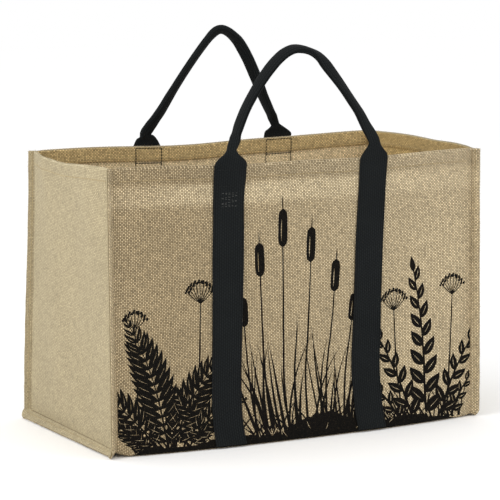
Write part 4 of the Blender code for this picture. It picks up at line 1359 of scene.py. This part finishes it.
def strap_sewing(face, rows, points, normals, inner, parts):
    """Black thread on both edges of each strap and in a box at its top, outside and inside."""
    thread, darning = Thread(), Thread()
    wall = rows_from_rim(rows, face, face)
    inset = STRAP_SEAM_IN / WEB_HALF
    depth = {index: -rows[index][1] if rows[index][1] < 0 else
             HEM_DEPTH + rows[index][1] * (WALL_HEIGHT - HEM_DEPTH) for index in wall}

    def inside(index, column):
        """Point on the inside of the cloth, and its normal."""
        low = int(math.floor(column))
        share = column - low
        spot = mix(points[index][low], points[index][low + 1], share)
        normal = mix(normals[index][low], normals[index][low + 1], share)
        offset = mix(inner[index][low], inner[index][low + 1], share)
        return spot - normal * offset, -normal

    def inside_at(deep, column):
        depths = [depth[index] for index in wall]
        after = min(max(int(np.searchsorted(depths, deep)), 1), len(wall) - 1)
        share = (deep - depths[after - 1]) / (depths[after] - depths[after - 1])
        first, second = inside(wall[after - 1], column), inside(wall[after], column)
        return mix(first[0], second[0], share), mix(first[1], second[1], share)

    for side, rings in zip(("left", "right"), (parts[0], parts[2])):
        centre = strap_column(side)
        reach = STRAP_COLUMNS / 2 * (1 - inset)
        for way in (-1, 1):
            deeps = np.arange(BOX_TOP, WALL_HEIGHT - INSIDE_FOOT, INSIDE_STEP)
            thread.run_on([inside_at(deep, centre + way * reach) for deep in deeps],
                          radius=INSIDE_RADIUS, gap=INSIDE_GAP)
        for deep in (BOX_TOP, BOX_FOOT):
            thread.run_on([inside_at(deep, centre + reach * step / 6) for step in range(-6, 7)],
                          radius=INSIDE_RADIUS, gap=INSIDE_GAP)

        def on_strap(ring, share):
            """Point on the face of the webbing, share runs -1 to 1 across it, and its normal."""
            place = (share + RING_FLAT) / (2 * RING_FLAT) * (RING_TOP - 1)
            low = min(max(int(place), 0), RING_TOP - 2)
            under = 2 * RING_TOP + 2 - low
            top = mix(ring[low], ring[low + 1], place - low)
            foot = mix(ring[under], ring[under - 1], place - low)
            return top, unit(top - foot)

        ordered = rings[::-1] if side == "left" else rings
        for way in (-1, 1):
            thread.run_on([on_strap(ring, way * (1 - inset)) for ring in ordered])
        lengths = run_along(ordered[:, RING_TOP // 2])

        def strap_at(deep, share):
            after = min(max(int(np.searchsorted(lengths, deep)), 1), len(ordered) - 1)
            part = (deep - lengths[after - 1]) / (lengths[after] - lengths[after - 1])
            first, second = on_strap(ordered[after - 1], share), on_strap(ordered[after], share)
            return mix(first[0], second[0], part), mix(first[1], second[1], part)

        edge = 1 - inset
        lines = [(thread, (deep, -edge), (deep, edge)) for deep in (BOX_TOP, BOX_FOOT)]
        if (face, side) == ("front", "left"):
            (top, foot), (near, far) = PATCH_DEEP, PATCH_ACROSS
            turns = [(deep, far if number % 2 else near)
                     for number, deep in enumerate(np.linspace(top, foot, PATCH_LINES))]
            lines += [(darning, (deep, near), (deep, far)) for deep in (top, foot)]
            lines += [(darning, first, second) for first, second in zip(turns, turns[1:])]
        for owner, (deep_a, share_a), (deep_b, share_b) in lines:
            shares = [step / LINE_STEPS for step in range(LINE_STEPS + 1)]
            owner.run_on([strap_at(mix(deep_a, deep_b, share), mix(share_a, share_b, share))
                          for share in shares],
                         gap=STITCH_GAP if owner is thread else DARNING_GAP)
    return thread, darning


def seam_sewing(rows, points, normals, inner, gussets):
    """Jute-coloured thread along the seam margins and the hems."""
    thread = Thread()
    columns = points.shape[1]
    for side in SIDE_SIGN:
        step = len(MARGIN_STEPS) - 1
        column = step if side == "left" else columns - 1 - step
        spots = points[:, column] + normals[:, column] * HALF
        thread.run(spots, normals[:, column])
        sheet, layers = gussets[side]
        chain = layers[len(layers) - 1 - step]
        thread.run(sheet.points[chain] + sheet.normals[chain] * HALF, sheet.normals[chain])
        width = layers[0][1] - layers[0][0]
        for sign, offset in ((1.0, HALF), (-1.0, HALF + HEM_EXTRA)):
            line = [HEM_SEAM_ROW * width + at for at in range(3, width - 3)]
            thread.run(sheet.points[line] + sign * sheet.normals[line] * offset,
                       sign * sheet.normals[line])
    for index in (HEM_SEAM_ROW, len(rows) - 1 - HEM_SEAM_ROW):
        line = slice(MARGIN_COLUMNS + 2, columns - MARGIN_COLUMNS - 2)
        thread.run(points[index, line] + normals[index, line] * HALF, normals[index, line])
        thread.run(points[index, line] - normals[index, line] * inner[index, line][:, None],
                   -normals[index, line])
    return thread


# no hair's middle goes lower than this
FIBRE_FLOOR = 0.0003
# hairs on each edge of the cloth, and the longest of them
RIM_HAIRS = (420, 0.0048)
MARGIN_HAIRS = (560, 0.0042)
GUSSET_RIM_HAIRS = (240, 0.0048)
GUSSET_MARGIN_HAIRS = (420, 0.0040)
HAIR_RADII = (0.00006, 0.00012)
# how far a hair leans at random, and how much it curls and thins towards its tip
HAIR_LEAN = 0.7
HAIR_CURL = 0.42
HAIR_TAPER = 0.8


def loose_fibres(rows, points, gussets):
    """Short jute hairs along the rims and the cut edges of the margins."""
    chance = random.Random(7)
    verts, faces = [], []

    def hair(root, way, length, radius):
        """One thin three-sided hair."""
        side = unit(np.cross(way, np.array((0.31, 0.52, 0.79))))
        curl = unit(np.cross(way, side) * chance.uniform(-1, 1) + side * chance.uniform(-1, 1))
        base = len(verts)
        for station in range(4):
            share = station / 3
            centre = root + way * length * share + curl * length * HAIR_CURL * share ** 2
            centre[2] = max(centre[2], FIBRE_FLOOR)
            size = radius * (1 - HAIR_TAPER * share)
            for step in range(3):
                angle = 2 * math.pi * step / 3
                verts.append(centre + (side * math.cos(angle)
                                       + np.cross(way, side) * math.sin(angle)) * size)
        for station in range(3):
            for step in range(3):
                here = base + station * 3
                following = (step + 1) % 3
                faces.append((here + step, here + following,
                              here + 3 + following, here + 3 + step))
        faces.append((base + 2, base + 1, base))
        faces.append((base + 9, base + 10, base + 11))

    def along(line, outward, count, longest):
        """Hairs at random places along an edge."""
        for _ in range(count):
            place = chance.uniform(0, len(line) - 1.001)
            low = int(place)
            root = mix(line[low], line[low + 1], place - low)
            way = mix(outward[low], outward[low + 1], place - low)
            spread = np.array([chance.uniform(-HAIR_LEAN, HAIR_LEAN) for _ in range(3)])
            hair(root, unit(unit(way) + spread), chance.uniform(0.25, 1.0) ** 1.6 * longest,
                 chance.uniform(*HAIR_RADII))

    for index in (0, len(rows) - 1):
        line = points[index]
        along(line, np.repeat(UP_AXIS[None, :], len(line), axis=0), *RIM_HAIRS)
    for column, inward in ((0, 1), (points.shape[1] - 1, -1)):
        line = points[:, column]
        along(line, line - points[:, column + inward], *MARGIN_HAIRS)
    for side in SIDE_SIGN:
        sheet, layers = gussets[side]
        width = layers[0][1] - layers[0][0]
        along(sheet.points[:width], np.repeat(UP_AXIS[None, :], width, axis=0),
              *GUSSET_RIM_HAIRS)
        edge = sheet.points[layers[-1]]
        along(edge, edge - sheet.points[layers[-2]], *GUSSET_MARGIN_HAIRS)
    return verts, faces


# --- materials -----------------------------------------------------------------------------------
def linear(hex_value):
    """sRGB hex to linear RGBA."""
    channels = [int(hex_value[at:at + 2], 16) / 255 for at in (0, 2, 4)]
    return tuple(c / 12.92 if c <= 0.04045 else ((c + 0.055) / 1.055) ** 2.4
                 for c in channels) + (1.0,)


def add(tree, kind, inputs=None, **settings):
    """Adds a node with its settings. An input is a value, a socket or a node's first output."""
    node = tree.nodes.new(kind)
    for name, value in settings.items():
        setattr(node, name, value)
    for key, value in (inputs or {}).items():
        if isinstance(value, bpy.types.Node):
            value = value.outputs[0]
        if isinstance(value, bpy.types.NodeSocket):
            tree.links.new(value, node.inputs[key])
        else:
            node.inputs[key].default_value = value
    return node


def colour_ramp(tree, level, stops):
    """Colours over a level: stops are its values with sRGB hex colours."""
    ramp = add(tree, "ShaderNodeValToRGB", {0: level})
    for _ in stops[2:]:
        ramp.color_ramp.elements.new(0.5)
    for element, (place, shade) in zip(ramp.color_ramp.elements, stops):
        element.position = place
        element.color = linear(shade)
    return ramp


def new_material(name, roughness, sheen=0.0, sheen_roughness=0.5, specular=0.25):
    """An empty material for something dry: rough, hardly any gloss, some fuzz as sheen."""
    material = bpy.data.materials.new(name)
    material.use_nodes = True
    tree = material.node_tree
    shader = tree.nodes["Principled BSDF"]
    shader.inputs["Roughness"].default_value = roughness
    shader.inputs["Sheen Weight"].default_value = sheen
    shader.inputs["Sheen Roughness"].default_value = sheen_roughness
    shader.inputs["Specular IOR Level"].default_value = specular
    return material, tree, shader


def finish_surface(tree, shader, colour, strength, height, relief, depth):
    """Colour times strength, and the relief of the threads."""
    shade = add(tree, "ShaderNodeVectorMath", {0: colour, "Scale": strength.outputs[0]},
                operation="SCALE")
    tree.links.new(shade.outputs[0], shader.inputs["Base Color"])
    bump = add(tree, "ShaderNodeBump", {"Height": height, "Strength": relief, "Distance": depth})
    tree.links.new(bump.outputs[0], shader.inputs["Normal"])


# Threads 2.55 and 2.3 mm apart, 10 and 11 to the inch. They were not counted off the real cloth:
# this is the finest spacing that test renders still show over the whole front.
WARP_PITCH = 0.00255
WEFT_PITCH = 0.0023
# uneven yarn: length of its thick and thin parts, how much a single crossing differs, and how far
# the threads wander
SLUB = 0.012
CROSSING = 0.50
THREAD_WANDER = 0.0010


def weave(tree):
    """Plain weave on the cloth's own coordinates: height, which thread is on top, its tone."""
    math_kind = "ShaderNodeMath"
    uv = add(tree, "ShaderNodeUVMap", uv_map="cloth")
    wander = add(tree, "ShaderNodeTexNoise", {"Vector": uv, "Scale": 70.0, "Detail": 1.0})
    shift = add(tree, "ShaderNodeVectorMath", {0: wander.outputs["Color"], 1: (0.5, 0.5, 0.5)},
                operation="SUBTRACT")
    moved = add(tree, "ShaderNodeVectorMath",
                {0: shift, 1: (THREAD_WANDER, THREAD_WANDER, 0.0), 2: uv},
                operation="MULTIPLY_ADD")
    parts = add(tree, "ShaderNodeSeparateXYZ", {0: moved})
    waves, rounds, counts = [], [], []
    for axis, pitch in ((0, WARP_PITCH), (1, WEFT_PITCH)):
        along = add(tree, math_kind, {0: parts.outputs[axis], 1: pitch}, operation="DIVIDE")
        turn = add(tree, math_kind, {0: along, 1: math.pi}, operation="MULTIPLY")
        wave = add(tree, math_kind, {0: turn}, operation="SINE")
        size = add(tree, math_kind, {0: wave}, operation="ABSOLUTE")
        waves.append(wave)
        rounds.append(add(tree, math_kind, {0: size, 1: 0.6}, operation="POWER"))
        counts.append(add(tree, math_kind, {0: along}, operation="FLOOR"))
    both = add(tree, math_kind, {0: waves[0], 1: waves[1]}, operation="MULTIPLY")
    warp_on_top = add(tree, math_kind, {0: both, 1: 0.0}, operation="GREATER_THAN")
    heights, tones = [], []
    for own, other, salt in ((0, 1, 3.7), (1, 0, 11.3)):
        crossing = add(tree, math_kind, {0: rounds[other], 1: 0.45, 2: 0.55},
                       operation="MULTIPLY_ADD")
        heights.append(add(tree, math_kind, {0: rounds[own], 1: crossing}, operation="MULTIPLY"))
        number = add(tree, math_kind, {0: counts[own], 1: 7.31, 2: salt},
                     operation="MULTIPLY_ADD")
        run = add(tree, math_kind, {0: parts.outputs[other], 1: SLUB}, operation="DIVIDE")
        spot = add(tree, "ShaderNodeCombineXYZ", {0: number, 1: run})
        tones.append(add(tree, "ShaderNodeTexNoise", {"Vector": spot, "Scale": 1.0,
                                                      "Detail": 2.0}))
    height = add(tree, "ShaderNodeMix", {"Factor": warp_on_top.outputs[0],
                                         "A": heights[1].outputs[0],
                                         "B": heights[0].outputs[0]})
    knot = add(tree, "ShaderNodeCombineXYZ", {0: counts[0], 1: counts[1]})
    grain = add(tree, "ShaderNodeTexWhiteNoise", {"Vector": knot.outputs[0]},
                noise_dimensions="3D")
    slub = add(tree, "ShaderNodeMix", {"Factor": warp_on_top.outputs[0],
                                       "A": tones[1].outputs["Fac"],
                                       "B": tones[0].outputs["Fac"]})
    tone = add(tree, math_kind, {0: grain.outputs["Value"], 1: CROSSING, 2: slub.outputs[0]},
               operation="MULTIPLY_ADD")
    return uv, height, warp_on_top, tone


# tint of the darker tone and the painted shade, over the cloth's own colours
TONE_AND_SHADE_TINT = "DEDAD4"


def burlap(name, hollow, thread, crown, hem_painted_shade, over, contrast):
    """Plain-woven jute: coarse uneven yarn with dark holes between the threads, dry and matt."""
    material, tree, shader = new_material(name, 0.92, 0.05, 0.6, 0.15)
    uv, height, warp_on_top, tone = weave(tree)
    # dark hollows and light crowns: painted shade between the threads and painted highlight on them
    colours = colour_ramp(tree, height, ((0.12, hollow), (0.58, thread), (0.96, crown)))
    # yarn tone along each thread, one set of threads lighter than the other as a painted highlight,
    # and broad clouds
    cloud = add(tree, "ShaderNodeTexNoise", {"Vector": uv, "Scale": 9.0, "Detail": 3.0,
                                             "Roughness": 0.6})
    tone_and_painted_light = add(tree, "ShaderNodeAttribute", attribute_name="tone_and_painted_light")
    hem = add(tree, "ShaderNodeAttribute", attribute_name="hem")
    # painted shade on the hem, where the cloth is doubled and lets no light through
    doubled_painted_shade = add(tree, "ShaderNodeMix", {"Factor": hem.outputs["Fac"], "A": linear("FFFFFF"),
                                          "B": linear(hem_painted_shade)}, data_type="RGBA")
    # tone and painted shade make it darker and browner; below zero it lightens for the painted
    # highlights and the lighter band, so it isn't clamped
    tone_and_light_tint = add(tree, "ShaderNodeMix", {"Factor": tone_and_painted_light.outputs["Fac"], "A": linear("FFFFFF"),
                                          "B": linear(TONE_AND_SHADE_TINT)}, data_type="RGBA",
                  clamp_factor=False)
    tinted = colours
    for shade in (doubled_painted_shade, tone_and_light_tint):
        tinted = add(tree, "ShaderNodeVectorMath", {0: tinted, 1: shade.outputs["Result"]},
                     operation="MULTIPLY")
    mean_tone = 0.5 + CROSSING / 2
    strength = add(tree, "ShaderNodeMath", {0: tone, 1: contrast, 2: 1 - contrast * mean_tone},
                   operation="MULTIPLY_ADD")
    for level, amount, base in ((warp_on_top, over, 1 - over / 2),
                                (cloud.outputs["Fac"], 0.24, 0.88)):
        part = add(tree, "ShaderNodeMath", {0: level, 1: amount, 2: base},
                   operation="MULTIPLY_ADD")
        strength = add(tree, "ShaderNodeMath", {0: strength, 1: part}, operation="MULTIPLY")
    finish_surface(tree, shader, tinted, strength, height, 0.55, 0.0006)
    return material


def screen_ink(name, ink, cloth):
    """Pigment pressed into the weave: matt, dry, with cloth left bare in the deepest holes."""
    material, tree, shader = new_material(name, 0.90, 0.0, 0.5, 0.10)
    uv, height, _, tone = weave(tree)
    wear = add(tree, "ShaderNodeTexNoise", {"Vector": uv, "Scale": 240.0, "Detail": 2.0})
    raised = add(tree, "ShaderNodeMath", {0: height, 1: 1.0, 2: 0.28}, operation="MULTIPLY_ADD")
    inked = add(tree, "ShaderNodeMath", {0: wear.outputs["Fac"], 1: -0.55, 2: raised},
                operation="MULTIPLY_ADD")
    colours = colour_ramp(tree, inked, ((0.02, cloth), (0.16, ink)))
    yarn = add(tree, "ShaderNodeMath", {0: tone, 1: 0.8, 2: 0.42}, operation="MULTIPLY_ADD")
    finish_surface(tree, shader, colours, yarn, height, 0.5, 0.0006)
    return material


# Ribs of such webbing are taken as about 1.2 mm apart, not measured. Drawn wider, to show.
WEB_RIB = 0.0034
WEB_PICK = 0.0022


def cotton_webbing(name, groove, rib):
    """Black cotton webbing: lengthwise ribs crossed by fine picks, soft, dry, hardly any gloss."""
    material, tree, shader = new_material(name, 0.92, 0.03, 0.4, 0.12)
    math_kind = "ShaderNodeMath"
    uv = add(tree, "ShaderNodeUVMap", uv_map="cloth")
    parts = add(tree, "ShaderNodeSeparateXYZ", {0: uv})
    across = add(tree, math_kind, {0: parts.outputs["X"], 1: WEB_RIB}, operation="DIVIDE")
    odd = add(tree, math_kind, {0: add(tree, math_kind, {0: across}, operation="FLOOR"), 1: 2.0},
              operation="MODULO")
    half_step = add(tree, math_kind, {0: odd, 1: 0.5}, operation="MULTIPLY")
    along = add(tree, math_kind, {0: parts.outputs["Y"], 1: 1 / (WEB_PICK * 2), 2: half_step},
                operation="MULTIPLY_ADD")
    waves = []
    for level in (across, along):
        turn = add(tree, math_kind, {0: level, 1: math.pi}, operation="MULTIPLY")
        wave = add(tree, math_kind, {0: turn}, operation="SINE")
        waves.append(add(tree, math_kind, {0: wave}, operation="ABSOLUTE"))
    ribs = add(tree, math_kind, {0: waves[0], 1: 0.7}, operation="POWER")
    picks = add(tree, math_kind, {0: waves[1], 1: 0.5, 2: 0.5}, operation="MULTIPLY_ADD")
    height = add(tree, math_kind, {0: ribs, 1: picks}, operation="MULTIPLY")
    lint = add(tree, "ShaderNodeTexNoise", {"Vector": uv, "Scale": 420.0, "Detail": 2.0})
    fade = add(tree, "ShaderNodeTexNoise", {"Vector": uv, "Scale": 22.0, "Detail": 3.0})
    fluff = add(tree, math_kind, {0: lint.outputs["Fac"], 1: 0.35}, operation="MULTIPLY")
    level = add(tree, math_kind, {0: height, 1: 0.55, 2: fluff}, operation="MULTIPLY_ADD")
    # grooves darker than the ribs: painted shade of the ribbing
    colours = colour_ramp(tree, level, ((0.10, groove), (0.85, rib)))
    worn = add(tree, math_kind, {0: fade.outputs["Fac"], 1: 0.5, 2: 0.75},
               operation="MULTIPLY_ADD")
    finish_surface(tree, shader, colours, worn, height, 0.6, 0.0004)
    return material


def spun_thread(name, shade, light, roughness):
    """Twisted sewing thread or jute hair: fine streaks of light and dark."""
    material, tree, shader = new_material(name, roughness, 0.05)
    spot = add(tree, "ShaderNodeTexCoord").outputs["Object"]
    streak = add(tree, "ShaderNodeTexNoise", {"Vector": spot, "Scale": 900.0, "Detail": 2.0})
    colours = colour_ramp(tree, streak.outputs["Fac"], ((0.35, shade), (0.65, light)))
    tree.links.new(colours.outputs[0], shader.inputs["Base Color"])
    bump = add(tree, "ShaderNodeBump", {"Height": streak.outputs["Fac"], "Strength": 0.4,
                                        "Distance": 0.0002})
    tree.links.new(bump.outputs[0], shader.inputs["Normal"])
    return material


# --- stage ---------------------------------------------------------------------------------------
# The camera was solved from the corners of the bag in the photograph, by a least-squares fit.
CAMERA = {"azimuth": -26.838, "elevation": 7.946, "roll": -0.26, "distance": 3.1468,
          "lens": 151.95, "target": (-0.0040, 0.0, 0.2537)}


def place_camera():
    """The camera, as CAMERA gives it."""
    azimuth, elevation, roll = (math.radians(CAMERA[key])
                                for key in ("azimuth", "elevation", "roll"))
    back = np.array((math.sin(azimuth) * math.cos(elevation),
                     -math.cos(azimuth) * math.cos(elevation), math.sin(elevation)))
    right = unit(np.cross(UP_AXIS, back))
    up = np.cross(back, right)
    turned_right = right * math.cos(roll) + up * math.sin(roll)
    turned_up = up * math.cos(roll) - right * math.sin(roll)
    place = np.array(CAMERA["target"]) + ORIGIN_SHIFT + back * CAMERA["distance"]
    data = bpy.data.cameras.new("camera")
    data.sensor_width = 36.0
    data.lens = CAMERA["lens"]
    data.clip_end = 50.0
    item = bpy.data.objects.new("camera", data)
    item.matrix_world = Matrix(((turned_right[0], turned_up[0], back[0], place[0]),
                                (turned_right[1], turned_up[1], back[1], place[1]),
                                (turned_right[2], turned_up[2], back[2], place[2]),
                                (0, 0, 0, 1)))
    bpy.context.scene.collection.objects.link(item)
    bpy.context.scene.camera = item


def soft_light(name, place, target, size, power, colour):
    """A round softbox that faces target."""
    data = bpy.data.lights.new(name, "AREA")
    data.shape = "DISK"
    data.size = size
    data.energy = power
    data.color = colour
    item = bpy.data.objects.new(name, data)
    item.location = place
    item.rotation_euler = (Vector(target) - Vector(place)).to_track_quat("-Z", "Y").to_euler()
    bpy.context.scene.collection.objects.link(item)


FLOOR_REACH = 12.0
FLOOR_LEVEL = -0.0004


def build_stage():
    """Floor, even white light all round and two softboxes."""
    mesh = bpy.data.meshes.new("floor")
    corners = [(-FLOOR_REACH, -FLOOR_REACH), (FLOOR_REACH, -FLOOR_REACH),
               (FLOOR_REACH, FLOOR_REACH), (-FLOOR_REACH, FLOOR_REACH)]
    mesh.from_pydata([corner + (FLOOR_LEVEL,) for corner in corners], [], [(0, 1, 2, 3)])
    floor = bpy.data.objects.new("floor", mesh)
    bpy.context.scene.collection.objects.link(floor)
    material, _, shader = new_material("white_paper_sweep", 0.9)
    shader.inputs["Base Color"].default_value = linear("FFFFFF")
    shader.inputs["Specular IOR Level"].default_value = 0.0
    mesh.materials.append(material)
    world = bpy.data.worlds.new("studio")
    world.use_nodes = True
    background = world.node_tree.nodes["Background"]
    background.inputs[0].default_value = (1.0, 1.0, 1.0, 1.0)
    background.inputs[1].default_value = 1.0
    bpy.context.scene.world = world
    bpy.context.scene.view_settings.view_transform = "Standard"
    soft_light("left_softbox", (-2.6, -0.7, 1.6), (-0.2, 0, 0.25), 1.6, 36.0, (1.0, 0.985, 0.96))
    soft_light("right_softbox", (1.9, -2.4, 1.5), (0.1, 0, 0.25), 1.8, 14.0, (1.0, 1.0, 1.0))


def main():
    """Builds the stage and every piece."""
    place_camera()
    build_stage()
    # the fourth colour given to each burlap tints its doubled hem: painted shade
    body = burlap("burlap_body_plain_woven", "46341E", "9E8A66", "D0C2A4", "F2F2F2", 0.52, 0.90)
    # the inside is a lighter copy of the cloth, painted light; the gussets' inside is a darker, more
    # golden copy, painted shade
    inside = burlap("burlap_inside_painted_light", "7C6C4E", "C4B189", "EBD6B0", "DED6BF", 0.34, 1.0)
    gusset_inside = burlap("burlap_inside_painted_shade", "6E5733", "A88F5E", "C9B07A", "F0F0F0",
                           0.34, 1.0)
    side = burlap("burlap_gusset_plain_woven", "81755A", "9B8E71", "B3A789", "FFFFFF", 0.14, 0.62)
    ink = screen_ink("screen_print_ink_on_burlap", "0B0907", "4E4330")
    webbing = cotton_webbing("cotton_webbing_black", "020303", "1F2223")
    black_thread = spun_thread("polyester_thread_black", "030404", "0C0E0E", 0.9)
    grey_thread = spun_thread("polyester_thread_worn_grey", "232422", "525350", 0.8)
    jute_thread = spun_thread("jute_thread_natural", "8E7B57", "B7A47B", 0.85)

    rows, points, normals, inner, cloth = build_body([body, ink, inside])
    sides = {}
    for name in SIDE_SIGN:
        piece, sheet, layers = build_gusset(name, rows, points, normals, [side, gusset_inside])
        sides[name] = (sheet, layers)
    sewing = []
    for face in FACE_SIGN:
        piece, parts = build_handle(face, rows, points, normals, webbing)
        thread, darning = strap_sewing(face, rows, points, normals, inner, parts)
        sewing.append([thread.piece(face + "_strap_stitches", black_thread,
                                    face + "_handle_webbing")])
        if darning.verts:
            sewing[-1].append(darning.piece(face + "_strap_darning", grey_thread,
                                            face + "_handle_webbing"))
    seams = seam_sewing(rows, points, normals, inner, sides).piece("seam_and_hem_stitches",
                                                                   jute_thread, "body_burlap")
    verts, faces = loose_fibres(rows, points, sides)
    hairs = make_piece("loose_jute_fibres", verts, faces, [jute_thread])


main()
